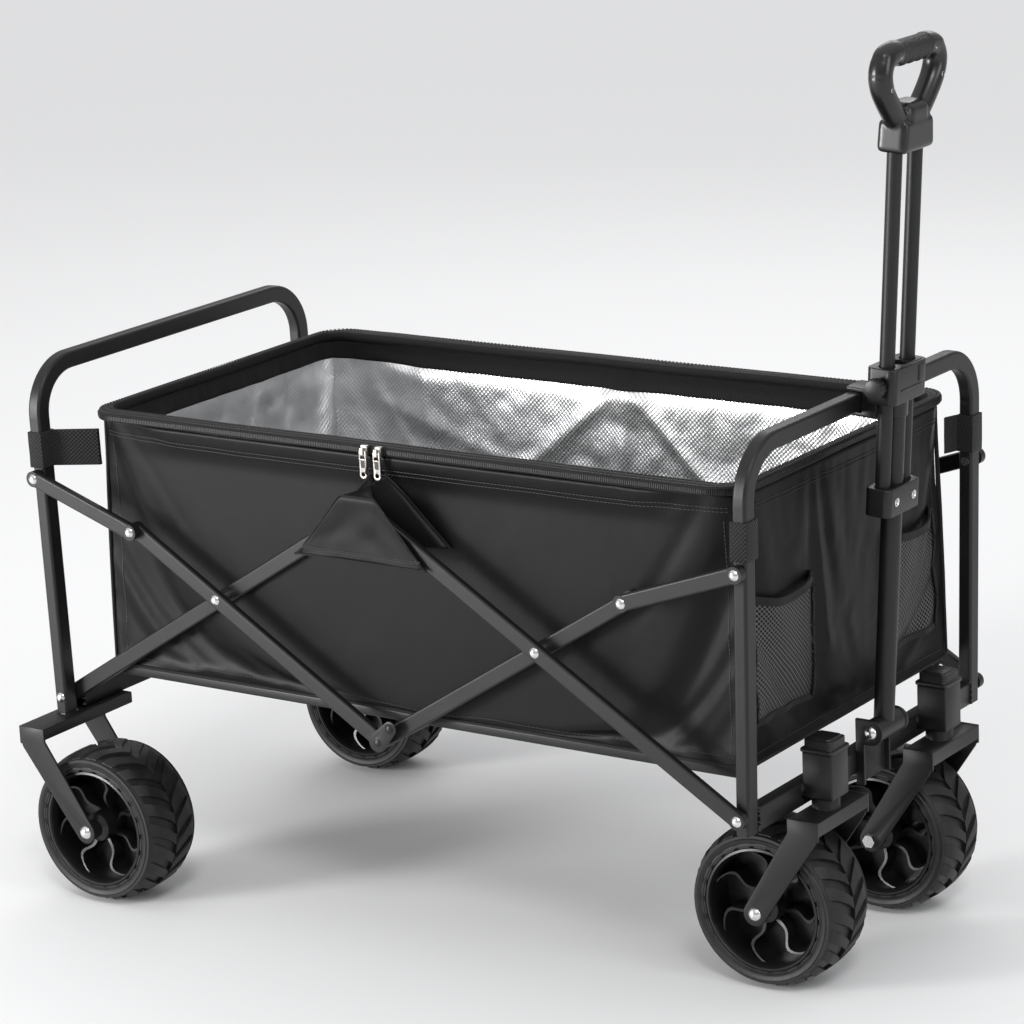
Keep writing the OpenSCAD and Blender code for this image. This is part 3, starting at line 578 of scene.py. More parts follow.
def weldBeads(cfg):
    for end in ("rear", "front"):
        node = end + "_crossbar"
        lo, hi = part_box(node)
        bm = bmesh.new()
        for side in (-1, 1):
            y = side * hi.y
            for k, x in enumerate((lo.x, hi.x)):
                bead(bm, (x, y, lo.z + cfg["clear"]), (x, y, hi.z - cfg["clear"]), cfg, k + side)
            bead(bm, (lo.x, y, hi.z), (hi.x, y, hi.z), cfg, 5 + side)
        if end == "front":
            boxLo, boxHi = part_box("caster_housings")
            capW = boxHi.x - boxLo.x
            for side in (-1, 1):
                outerY = boxHi.y if side > 0 else boxLo.y
                for k, y in enumerate((outerY, outerY - side * capW)):
                    bead(bm, (boxLo.x, y, boxLo.z + cfg["clear"]), (boxLo.x, y, hi.z), cfg, 9 + k)
        finish(end + "WeldBeads", bm, node, steel)
    barLo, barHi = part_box("rear_crossbar")
    postX = (barLo.x + barHi.x) / 2
    near, far = cfg["endY"]
    for side, sign in (("left", 1), ("right", -1)):
        node = "rear_fork_" + side
        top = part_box(node)[1].z
        bm = bmesh.new()
        for y in cfg["plateY"]:
            bead(bm, (postX - cfg["halfX"], sign * y, top), (postX + cfg["halfX"], sign * y, top), cfg, y)
        for x in (-cfg["endX"], cfg["endX"]):
            bead(bm, (postX + x, sign * near, top), (postX + x, sign * far, top), cfg, x)
        finish(camel(node + "_weld"), bm, node, steel)


weldBeads(weld)

# Handle: everything on it is drawn along it, from the pivot up
slide = next(j for j in frame["joints"] if j["name"] == "handle_slide")
lean = math.atan2(slide["axis"][0], slide["axis"][2])
pivotLo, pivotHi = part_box("handle_pivot_bolt")
pivot = Vector(((pivotLo.x + pivotHi.x) / 2, 0, (pivotLo.z + pivotHi.z) / 2))
onHandle = Matrix.Translation(pivot) @ Matrix.Rotation(lean, 4, "Y")


def alongBox(node):
    back = onHandle.inverted()
    points = [back @ v.co for v in nodes[node].data.vertices]
    return [Vector(f(p[i] for p in points) for i in range(3)) for f in (min, max)]


def screw(target, at, facing, size):
    head = spun([(0, 0.0), (size * 0.3, -0.0003), (size * 0.42, 0.0008), (size * 0.5, 0.0005),
                 (size * 0.5, -0.002), (0, -0.002)], 20)
    for turn in (0, 90):
        merge(head, block((size * 0.62, 0.0007, size * 0.14)), Matrix.Rotation(math.radians(turn), 4, "Y"))
    aim = Vector(facing).to_track_quat("Y", "Z").to_matrix().to_4x4()
    merge(target, head, onHandle @ Matrix.Translation(at) @ aim)


grip = dict(barR=0.0142, armR=0.0116, deep=0.0128, voxel=0.0013, waves=4, screwD=0.0062,
            neckW=0.065, neckH=0.034, padHalf=0.030, padDown=0.011, padEdge=0.0015, padSink=0.0006,
            fingerR=0.0095, fingerPitch=0.0165)


def gripBody(cfg):
    lo, hi = alongBox("d_grip")
    top, half, deep = hi.z, hi.y, hi.x
    barZ = top - cfg["barR"] - 0.0006
    armY = half - cfg["armR"] - 0.0004
    route = [
        (0, lo.z + 0.028), (0.017, lo.z + 0.032), (0.032, lo.z + 0.044), (armY - 0.006, lo.z + 0.066),
        (armY, barZ - 0.020), (armY - 0.004, barZ - 0.006), (armY - 0.018, barZ), (0.016, barZ),
    ]
    path = [(0, y, z) for y, z in route] + [(0, -y, z) for y, z in reversed(route[1:])]
    ring = []
    count = len(path)
    for i in range(count):
        a, b, c, d = (Vector(path[(i + k) % count]) for k in (-1, 0, 1, 2))
        for s in range(8):
            t = s / 8
            ring.append(0.5 * ((2 * b) + (c - a) * t + (2 * a - 5 * b + 4 * c - d) * t * t
                               + (3 * b - a - 3 * c + d) * t ** 3))
    bm = tube(ring, cfg["armR"], closed=True, sides=6)
    for v in bm.verts:
        bar = ease((v.co.z - barZ + 0.030) / 0.020)
        v.co.x *= cfg["deep"] / cfg["armR"]
        v.co.z -= 0.0022 * bar * (1 if v.co.z < barZ else 0)
    neck = block((2 * deep - 0.0006, cfg["neckW"], cfg["neckH"]), (0, 0, lo.z + 0.0172), 0.006, 4)
    for v in neck.verts:
        v.co.y *= 1 - 0.10 * (v.co.z - lo.z) / cfg["neckH"]
    merge(bm, neck)
    merge(bm, block((2 * deep - 0.002, 0.046, 0.03), (0, 0, lo.z + 0.036), 0.010, 4))
    for k in range(cfg["waves"]):
        y = (k - (cfg["waves"] - 1) / 2) * cfg["fingerPitch"]
        finger = bmesh.new()
        bmesh.ops.create_uvsphere(finger, u_segments=16, v_segments=10, radius=cfg["fingerR"])
        bmesh.ops.scale(finger, vec=(1.35, 0.8, 0.8), verts=finger.verts)
        merge(bm, finger, Matrix.Translation((0, y, barZ - cfg["barR"] * 0.55)))
    obj = placed("gripShape", meshOf("grip", bm))
    shaped(obj, ("REMESH", dict(mode="VOXEL", voxel_size=cfg["voxel"], use_smooth_shade=True)),
           ("SMOOTH", dict(factor=0.5, iterations=9)))
    body = bmesh.new()
    body.from_mesh(obj.data)
    bpy.data.objects.remove(obj)
    pad = body.verts.layers.float.new("pad")
    for v in body.verts:
        inBar = abs(v.co.y) < cfg["padHalf"] and v.co.z > barZ - cfg["padDown"]
        edge = min(1.0, (cfg["padHalf"] - abs(v.co.y)) / cfg["padEdge"]) if inBar else 0
        v[pad] = 1.0 if inBar else 0.0
        v.co.x = max(-deep, min(deep, v.co.x))
        v.co.z = min(top, v.co.z)
        if inBar:
            v.co -= v.normal * cfg["padSink"] * edge
    body.transform(onHandle)
    finish("gripBody", body, "d_grip", gripPlastic, ["d_grip"], 60)
    heads = bmesh.new()
    for x, y, z in ((deep, 0.019, lo.z + 0.017), (cfg["deep"], armY - 0.004, lo.z + 0.070),
                    (cfg["deep"], 0.037, barZ - 0.002)):
        for side in (-1, 1):
            screw(heads, (x - 0.0011, side * y, z), (1, 0, 0), cfg["screwD"])
    finish("gripScrews", heads, "d_grip", rivetMetal)


gripBody(grip)
trim = dict(collarY=(-0.018, 0.018), collarD=0.0095, ribZ=(0.006, 0.032), ribHalf=0.020, ribR=0.0011,
            latch=(0.003, 0.013, 0.018), clipD=0.006)


def handleTrim(cfg):
    lo, hi = alongBox("sliding_collar")
    heads = bmesh.new()
    for y in cfg["collarY"]:
        screw(heads, (hi.x + 0.0002, y, (lo.z + hi.z) / 2), (1, 0, 0), cfg["collarD"])
    finish("collarScrews", heads, "sliding_collar", rivetMetal)
    lo, hi = alongBox("handle_clamp")
    ribs = bmesh.new()
    for z in cfg["ribZ"]:
        ends = [(hi.x - 0.0002, y, lo.z + 0.03 + z) for y in (-cfg["ribHalf"], cfg["ribHalf"])]
        merge(ribs, tube(ends, cfg["ribR"]), onHandle)
    merge(ribs, block(cfg["latch"], (hi.x - 0.0004, 0.022, lo.z + 0.048), 0.0012), onHandle)
    finish("clampLatch", ribs, "handle_clamp", plastic)
    heads = bmesh.new()
    screw(heads, (-0.0145, -0.0162, lo.z + 0.024), (0, -1, 0), cfg["clipD"])
    finish("clipScrew", heads, "handle_clamp", rivetMetal)


handleTrim(trim)
print("stage: handle")

# Bag: each wall is laid out in metres from its lower corner, s along it and t up it
rearLo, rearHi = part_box("bag_rear_wall")
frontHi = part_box("bag_front_wall")[1]
hubLo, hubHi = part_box("hub_cross_tube")
hubX = (hubLo.x + hubHi.x) / 2
bag = dict(
    start=rearLo.x, end=frontHi.x, half=rearHi.y, foot=rearLo.z, step=0.007,
    length=frontHi.x - rearLo.x, height=rearHi.z - rearLo.z, travel=0.6803,
    thick=0.0013, sag=0.0125, wander=0.0030, corner=(0.012, 0.030), flareFrom=0.036, fade=0.07,
    outMost=0.0014, soften=0.0008, gap=0.0030, foilThick=0.0006, bandRows=3, piping=0.0019,
    crumple=((0.0042, 19), (0.0016, 55)), baseCells=(60, 32),
    cloth=dict(quality=5, mass=0.2, tension_stiffness=20, compression_stiffness=20, shear_stiffness=10,
               bending_stiffness=0.5, shrink_min=-0.004, frames=25),
)
hubS = hubX - bag["start"]
walls = {
    "bagRightWall": dict(
        node="bag_side_walls", corner=(bag["start"], -bag["half"]), run=(1, 0), inward=(0, 1),
        width=bag["length"], flare=0.0115, seed=3.1,
        folds=[((hubS - 0.095, 0.180), (hubS - 0.005, 0.020), 0.0135, 0.026),
               ((hubS + 0.235, 0.150), (0.832, 0.004), 0.0130, 0.024),
               ((hubS + 0.030, 0.246), (hubS + 0.200, 0.250), 0.0090, 0.016),
               ((hubS + 0.095, 0.193), (hubS + 0.250, 0.163), 0.0100, 0.018),
               ((0.060, 0.200), (0.205, 0.090), 0.0100, 0.022),
               ((0.100, 0.052), (0.270, 0.030), 0.0050, 0.014),
               ((0.170, 0.238), (0.330, 0.216), 0.0060, 0.014),
               ((hubS + 0.060, 0.100), (hubS + 0.190, 0.040), 0.0090, 0.022)],
        creases=[((0.1, 0.25), (0.3, 0.1), 0.003, 0.008), ((0.5, 0.2), (0.7, 0.05), 0.003, 0.008)]),
    "bagLeftWall": dict(
        node="bag_side_walls", corner=(bag["end"], bag["half"]), run=(-1, 0), inward=(0, -1),
        width=bag["length"], flare=0.0115, seed=7.7,
        folds=[((0.10, 0.20), (0.30, 0.06), 0.0080, 0.017), ((0.62, 0.19), (0.76, 0.04), 0.0080, 0.017),
               ((0.45, 0.10), (0.58, 0.03), 0.0060, 0.015), ((0.30, 0.24), (0.42, 0.20), 0.0050, 0.014)],
        creases=[((0.411, 0.268), (0.556, 0.153), 0.0055, 0.006),
                 ((0.411, 0.268), (0.295, 0.153), 0.0055, 0.006),
                 ((0.556, 0.153), (0.60, 0.02), 0.0045, 0.008), ((0.295, 0.153), (0.27, 0.02), 0.0045, 0.008),
                 ((0.411, 0.268), (0.43, 0.01), 0.0040, 0.010), ((0.10, 0.28), (0.20, 0.02), 0.0040, 0.008),
                 ((0.295, 0.153), (0.09, 0.24), 0.0035, 0.008), ((0.70, 0.27), (0.66, 0.03), 0.0045, 0.009),
                 ((0.556, 0.153), (0.76, 0.22), 0.0035, 0.008)]),
    "bagRearWall": dict(
        node="bag_rear_wall", corner=(bag["start"], bag["half"]), run=(0, -1), inward=(1, 0),
        width=2 * bag["half"], flare=0.001, seed=11.3,
        folds=[((0.10, 0.22), (0.20, 0.05), 0.0070, 0.016), ((0.33, 0.20), (0.28, 0.04), 0.0070, 0.016)],
        creases=[((0.14, 0.27), (0.24, 0.02), 0.0055, 0.008), ((0.33, 0.27), (0.24, 0.10), 0.0045, 0.008),
                 ((0.06, 0.25), (0.09, 0.02), 0.0040, 0.008)]),
    "bagFrontWall": dict(
        node="bag_front_wall", corner=(bag["end"], -bag["half"]), run=(0, 1), inward=(-1, 0),
        width=2 * bag["half"], flare=0.001, seed=17.9,
        folds=[((0.147, 0.284), (0.171, 0.092), 0.0115, 0.008), ((0.03, 0.26), (0.10, 0.20), 0.0050, 0.012),
               ((0.30, 0.25), (0.41, 0.20), 0.0060, 0.014), ((0.22, 0.10), (0.25, 0.02), 0.0060, 0.014)],
        creases=[((0.10, 0.27), (0.20, 0.05), 0.004, 0.008), ((0.30, 0.25), (0.24, 0.03), 0.004, 0.008)]),
}


def withFold(obj):
    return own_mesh(obj)


def offLine(s, t, a, b):
    run, rise = b[0] - a[0], b[1] - a[1]
    k = max(0.0, min(1.0, ((s - a[0]) * run + (t - a[1]) * rise) / (run * run + rise * rise)))
    return math.hypot(s - a[0] - k * run, t - a[1] - k * rise)


def creased(lines, s, t):
    return sum(height * math.exp(-math.hypot(offLine(s, t, a, b), 0.002) / wide)
               for a, b, height, wide in lines)


def cornerRadius(t):
    tight, loose = bag["corner"]
    return tight + (loose - tight) * (t / bag["height"]) ** 2


def roundIn(wall, s, t):
    radius = cornerRadius(t)
    near = min(s, wall["width"] - s)
    return radius - math.sqrt(max(0.0, radius ** 2 - (radius - near) ** 2)) if near < radius else 0.0


def flareOut(wall, s, t):
    near = min(s, wall["width"] - s)
    return (wall["flare"] * ease((t - bag["height"] + bag["flareFrom"]) / bag["flareFrom"])
            * ease((near - 0.03) / bag["fade"]))


def lie(wall, s, t):
    across, up = abs(2 * s / wall["width"] - 1), abs(2 * t / bag["height"] - 1)
    free = (1 - across ** 5) * (1 - up ** 4)
    wander = noise.fractal(Vector((s * 11, t * 15, wall["seed"])), 0.7, 2.1, 4)
    return (bag["sag"] - creased(wall["folds"], s, t) + bag["wander"] * wander) * free


def panel(cols, rows, size, at):
    bm = bmesh.new()
    flat = bm.loops.layers.uv.new("UVMap")
    grid = [[bm.verts.new(at(i, j)) for i in range(cols + 1)] for j in range(rows + 1)]
    for j in range(rows):
        for i in range(cols):
            spots = ((i, j), (i + 1, j), (i + 1, j + 1), (i, j + 1))
            face = bm.faces.new([grid[b][a] for a, b in spots])
            for loop, (a, b) in zip(face.loops, spots):
                loop[flat].uv = (a / cols * size[0], b / rows * size[1])
    return bm


def boxUv(bm):
    flat = bm.loops.layers.uv.verify()
    for face in bm.faces:
        face.normal_update()
        n = [abs(c) for c in face.normal]
        a, b = [(1, 2), (0, 2), (0, 1)][n.index(max(n))]
        for loop in face.loops:
            loop[flat].uv = (loop.vert.co[a], loop.vert.co[b])


def recalc(obj):
    bm = bmesh.new()
    bm.from_mesh(obj.data)
    bmesh.ops.recalc_face_normals(bm, faces=bm.faces)
    bm.to_mesh(obj.data)
    bm.free()
    obj.data.shade_smooth()


def thickened(obj, thick, levels=1):
    shaped(obj, ("SUBSURF", dict(levels=levels, render_levels=levels, boundary_smooth="PRESERVE_CORNERS")),
           ("SOLIDIFY", dict(thickness=thick, offset=-1, use_rim=True)))
    recalc(obj)


def draped(obj, cols, rows, cfg):
    group = obj.vertex_groups.new(name="sewn")
    group.add([i for i in range((cols + 1) * (rows + 1))
               if i % (cols + 1) in (0, cols) or i // (cols + 1) in (0, rows)], 1.0, "REPLACE")
    mod = obj.modifiers.new("cloth", "CLOTH")
    for key, value in cfg.items():
        if key != "frames":
            setattr(mod.settings, key, value)
    mod.settings.vertex_group_mass = "sewn"
    mod.collision_settings.use_collision = False
    mod.point_cache.frame_end = cfg["frames"]
    for f in range(1, cfg["frames"] + 1):
        scene.frame_set(f)
    data = evaluated(obj)
    scene.frame_set(1)
    obj.modifiers.clear()
    obj.vertex_groups.clear()
    obj.data = data
    return [v.co.copy() for v in data.vertices]


def makeWall(name, wall):
    cols, rows = round(wall["width"] / bag["step"]), round(bag["height"] / bag["step"])
    corner, run, inward = (Vector((*wall[k], 0)) for k in ("corner", "run", "inward"))

    def at(i, j):
        t = j / rows * bag["height"]
        edge = (1 - math.sqrt(0.5)) * cornerRadius(t)
        s = edge + i / cols * (wall["width"] - 2 * edge)
        depth = lie(wall, s, t) + roundIn(wall, s, t) - flareOut(wall, s, t)
        return corner + run * s + inward * depth + Vector((0, 0, bag["foot"] + t))

    bm = panel(cols, rows, (wall["width"], bag["height"]), at)
    replaces = [wall["node"]] if name != "bagLeftWall" else []
    obj = finish(name, bm, wall["node"], cloth, replaces, 60)
    points = draped(obj, cols, rows, bag["cloth"])
    for i, p in enumerate(points):
        s, t = (p - corner).dot(run), p.z - bag["foot"]
        low = roundIn(wall, s, t) - flareOut(wall, s, t) - bag["outMost"]
        depth = (p - corner).dot(inward)
        over = (depth - low) / bag["soften"]
        kept = low + bag["soften"] * (over if over > 30 else math.log1p(math.exp(over)))
        points[i] = p + inward * (kept - depth)
    for v, p in zip(obj.data.vertices, points):
        v.co = p
    thickened(obj, bag["thick"])
    wall.update(cols=cols, rows=rows, points=points, axes=(corner, run, inward))
    if wall["node"] != "bag_front_wall":
        withFold(obj)
    wall["width"] * 1.01


for name, wall in walls.items():
    makeWall(name, wall)
    print("stage:", name)


def onWall(name, s, t, out=0.0):
    wall = walls[name]
    edge = (1 - math.sqrt(0.5)) * cornerRadius(t)
    a = max(0.0, min(wall["cols"] - 1e-6, (s - edge) / (wall["width"] - 2 * edge) * wall["cols"]))
    b = max(0.0, min(wall["rows"] - 1e-6, t / bag["height"] * wall["rows"]))
    i, j, a, b = int(a), int(b), a % 1, b % 1
    p = wall["points"]
    row = wall["cols"] + 1
    low = p[j * row + i].lerp(p[j * row + i + 1], a)
    high = p[(j + 1) * row + i].lerp(p[(j + 1) * row + i + 1], a)
    return low.lerp(high, b) - wall["axes"][2] * out


def stitches(bm, line, every=0.0046, size=(0.0031, 0.0009, 0.0007)):
    line = [Vector(p) for p in line]
    left = every / 2
    for a, b in zip(line, line[1:]):
        step = b - a
        turn = Matrix.Identity(4)
        if step.length > 1e-7:
            turn = step.to_track_quat("X", "Z").to_matrix().to_4x4()
        while left <= step.length:
            spot = Matrix.Translation(a + step * (left / step.length))
            bmesh.ops.create_cube(bm, size=1, matrix=spot @ turn @ Matrix.Diagonal((*size, 1)))
            left += every
        left -= step.length


def liner(name, key, rows, gap, material, replaces=()):
    wall = walls[key]
    corner, run, inward = wall["axes"]
    row = wall["cols"] + 1

    def at(i, j):
        p = wall["points"][(rows[0] + j) * row + i]
        s, t = (p - corner).dot(run), p.z - bag["foot"]
        crumple = sum(high * abs(noise.noise(Vector((s * often, t * often, wall["seed"]))))
                      for high, often in bag["crumple"])
        near = min(s, wall["width"] - s)
        inside = ease(near / 0.02) * ease((bag["height"] - t) / 0.04)
        deep = gap + (creased(wall["creases"], s, t) + crumple) * inside
        shift = min(0.0, near - gap - 0.004) * (1 if s > wall["width"] / 2 else -1)
        return p + inward * deep + run * shift

    size = (wall["width"], (rows[1] - rows[0]) * bag["step"])
    bm = panel(wall["cols"], rows[1] - rows[0], size, at)
    obj = finish(name, bm, "foil_liner", material, replaces, 60)
    thickened(obj, bag["foilThick"])
    withFold(obj)
    size[0] * 1.02
    size[1] * 1.02


for key in walls:
    rows = walls[key]["rows"]
    liner(key.replace("bag", "foil"), key, (0, rows - bag["bandRows"] + 1), bag["thick"] + bag["gap"], foil,
          ["foil_liner"] if key == "bagRightWall" else [])
    liner(key.replace("bag", "band").replace("Wall", ""), key, (rows - bag["bandRows"], rows),
          bag["thick"] + bag["gap"] + 0.0012, tape)
print("stage: liner")


# Base: the cloth under the box, the foil on it and four stiff padded panels
def layer(name, node, z, inset, material, wave, thick, replaces):
    lo = Vector((bag["start"] + inset, -bag["half"] + inset, z))
    size = (bag["length"] - 2 * inset, 2 * (bag["half"] - inset))
    cols, rows = bag["baseCells"]

    def at(i, j):
        x, y = i / cols * size[0], j / rows * size[1]
        return lo + Vector((x, y, wave * noise.noise(Vector((x * 16, y * 16, z)))))

    obj = finish(name, panel(cols, rows, size, at), node, material, replaces, 60)
    thickened(obj, thick)
    withFold(obj)


layer("bagBase", "bag_floor", bag["foot"] + 0.0026, 0.003, cloth, 0.0008, 0.0014, ["bag_floor"])
layer("foilBase", "foil_liner", bag["foot"] + 0.0060, 0.008, foil, 0.0008, 0.0006, [])
mat = dict(panels=4, joint=0.002, puff=0.0012, edge=0.0028)


def makeMat(cfg):
    lo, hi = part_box("floor_mat")
    width = (hi.x - lo.x - (cfg["panels"] - 1) * cfg["joint"]) / cfg["panels"]
    bm, seams = bmesh.new(), bmesh.new()
    for k in range(cfg["panels"]):
        at = Vector((lo.x + k * (width + cfg["joint"]) + width / 2, 0, (lo.z + hi.z) / 2))
        one = block((width, hi.y - lo.y - 0.012, hi.z - lo.z - 2 * cfg["puff"]), (0, 0, 0), cfg["edge"], 4)
        long = [e for e in one.edges if e.calc_length() > 0.05]
        bmesh.ops.subdivide_edges(one, edges=long, cuts=11, use_grid_fill=True)
        for v in one.verts:
            free = (1 - abs(2 * v.co.x / width) ** 6) * (1 - abs(2 * v.co.y / (hi.y - lo.y)) ** 6)
            v.co.z += math.copysign(cfg["puff"] * max(0.0, free), v.co.z) * (
                0.75 + 0.25 * noise.noise(v.co * 30 + Vector((k, 0, 0))))
        merge(bm, one, Matrix.Translation(at))
        a, b = width / 2 - 0.007, (hi.y - lo.y) / 2 - 0.014
        ring = [at + Vector((x, y, (hi.z - lo.z) / 2 - cfg["puff"] + 0.0003))
                for x, y in ((-a, -b), (a, -b), (a, b), (-a, b), (-a, -b))]
        stitches(seams, ring, 0.0062, (0.004, 0.001, 0.0008))
    bmesh.ops.recalc_face_normals(bm, faces=bm.faces)
    boxUv(bm)
    obj = finish("floorMat", bm, "floor_mat", cloth, ["floor_mat"], 50)
    withFold(obj)
    withFold(finish("floorMatStitches", seams, "floor_mat", thread))


makeMat(mat)
withFold(softened("hem_rails", 0.002, steel, 3))

# Rim: a stiff band around the top, with the zip on its outer face
rim = dict(outerR=0.036, innerR=0.024, arc=10, along=60, across=32, tooth=(0.0013, 0.0011, 0.0046),
           pitch=0.0023, inset=(0.0095, 0.022), seamRows=(0.14, 0.5, 0.86), waveRoom=0.0008)


def roundLoop(x0, x1, half, radius, cfg):
    loop = []
    for cx, cy, start, count in ((x1 - radius, -half + radius, -90, cfg["across"]),
                                 (x1 - radius, half - radius, 0, cfg["along"]),
                                 (x0 + radius, half - radius, 90, cfg["across"]),
                                 (x0 + radius, -half + radius, 180, cfg["along"])):
        for k in range(cfg["arc"] + 1):
            a = math.radians(start + 90 * k / cfg["arc"])
            loop.append((cx + radius * math.cos(a), cy + radius * math.sin(a)))
        side = {-90: (x1, half - radius), 0: (x0 + radius, half), 90: (x0, -half + radius),
                180: (x1 - radius, -half)}[start]
        last = loop[-1]
        loop += [(last[0] + (side[0] - last[0]) * k / count, last[1] + (side[1] - last[1]) * k / count)
                 for k in range(1, count)]
    return loop


def between(a, b, share, z):
    return a[0] + (b[0] - a[0]) * share, a[1] + (b[1] - a[1]) * share, z


def makeRim(cfg):
    lo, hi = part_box("zip_rim")
    inX, inY = cfg["inset"]
    outer = roundLoop(lo.x, hi.x, hi.y, cfg["outerR"], cfg)
    inner = roundLoop(lo.x + inX, hi.x - inX, hi.y - inY, cfg["innerR"], cfg)
    mid, half = (lo.z + hi.z) / 2, (hi.z - lo.z) / 2
    profile = [(0.0, -0.75), (-0.02, 0.0), (0.0, 0.7), (0.08, 0.95), (0.2, 1.0), (0.26, 0.82),
               (0.32, 0.97), (0.62, 1.0), (0.68, 0.84), (0.74, 0.97), (0.92, 0.92), (0.98, 0.68),
               (1.0, 0.45), (0.965, 0.36), (0.965, -0.36), (1.0, -0.45), (0.98, -0.72), (0.9, -0.95),
               (0.08, -0.95)]
    bm = bmesh.new()
    rings = []
    for k, (a, b) in enumerate(zip(inner, outer)):
        wave = 0.0005 * math.sin(k * 0.31) + 0.0003 * noise.noise(Vector((k * 0.2, 0, 0)))
        rings.append([bm.verts.new(between(a, b, f, mid + h * (half - cfg["waveRoom"]) + wave))
                      for f, h in profile])
    for ring, after in zip(rings, rings[1:] + rings[:1]):
        for k in range(len(profile)):
            m = (k + 1) % len(profile)
            bm.faces.new((ring[k], after[k], after[m], ring[m]))
    bmesh.ops.recalc_face_normals(bm, faces=bm.faces)
    boxUv(bm)
    obj = finish("zipRim", bm, "zip_rim", tape, ["zip_rim"], 55)
    withFold(obj)
    teeth = bmesh.new()
    stitches(teeth, [(x, y, mid) for x, y in outer + outer[:1]], cfg["pitch"], cfg["tooth"])
    withFold(finish("zipTeeth", teeth, "zip_rim", plastic))
    seams = bmesh.new()
    for share in cfg["seamRows"]:
        line = [between(a, b, share, hi.z - 0.0009) for a, b in zip(inner, outer)]
        stitches(seams, line + line[:1], 0.005, (0.0032, 0.0009, 0.0007))
    withFold(finish("rimStitches", seams, "zip_rim", thread))


makeRim(rim)
print("stage: rim")


# Seams: piping down the corners and around the foot, stitch lines along the hem and under the rim
seam = dict(hem=0.0105, underRim=(0.0135, 0.0175), side=0.0145, inward=0.006, proud=0.0002, pipeProud=0.0004)


def wallSeams(name, wall, cfg):
    width, height = wall["width"], bag["height"]
    lines = bmesh.new()
    for t in (cfg["hem"], *(height - down for down in cfg["underRim"])):
        stitches(lines, [onWall(name, 0.016 + k * (width - 0.032) / 160, t, cfg["proud"])
                         for k in range(161)])
    for s in (cfg["side"], width - cfg["side"]):
        s += cfg["inward"] * (1 if s < width / 2 else -1)
        stitches(lines, [onWall(name, s, 0.012 + k * (height - 0.04) / 60, cfg["proud"]) for k in range(61)])
    pipe = bmesh.new()
    for s in (0, width) if wall["node"] != "bag_side_walls" else ():
        line = [onWall(name, s, 0.003 + k * (height - 0.006) / 40, cfg["pipeProud"]) for k in range(41)]
        merge(pipe, tube(line, bag["piping"]))
    line = [onWall(name, 0.006 + k * (width - 0.012) / 80, 0.0016, cfg["pipeProud"]) for k in range(81)]
    merge(pipe, tube(line, bag["piping"]))
    boxUv(pipe)
    for kind, bm, material in (("Stitches", lines, thread), ("Piping", pipe, tape)):
        obj = finish(name + kind, bm, wall["node"], material)
        if wall["node"] != "bag_front_wall":
            withFold(obj)


for name, wall in walls.items():
    wallSeams(name, wall, seam)

# Hoods: a tent of cloth over each apex of the linkage, sewn to the wall and open below
hood = dict(seam=((0.086, 0.197), (0.011, 0.267)), bend=0.30, cols=72, roof=13, face=20, thick=0.0016,
            piping=0.0014, flat=(0.235, 0.115), weave=(0.235, 0.12), ridge=0.024, hemRows=(0.0075, 0.0095))


def relax(grid, times):
    for _ in range(times):
        grid = [[p if i in (0, len(row) - 1) or j in (0, len(grid) - 1) else
                 p * 0.5 + (grid[j - 1][i] + grid[j + 1][i] + row[i - 1] + row[i + 1]) * 0.125
                 for i, p in enumerate(row)] for j, row in enumerate(grid)]
    return grid


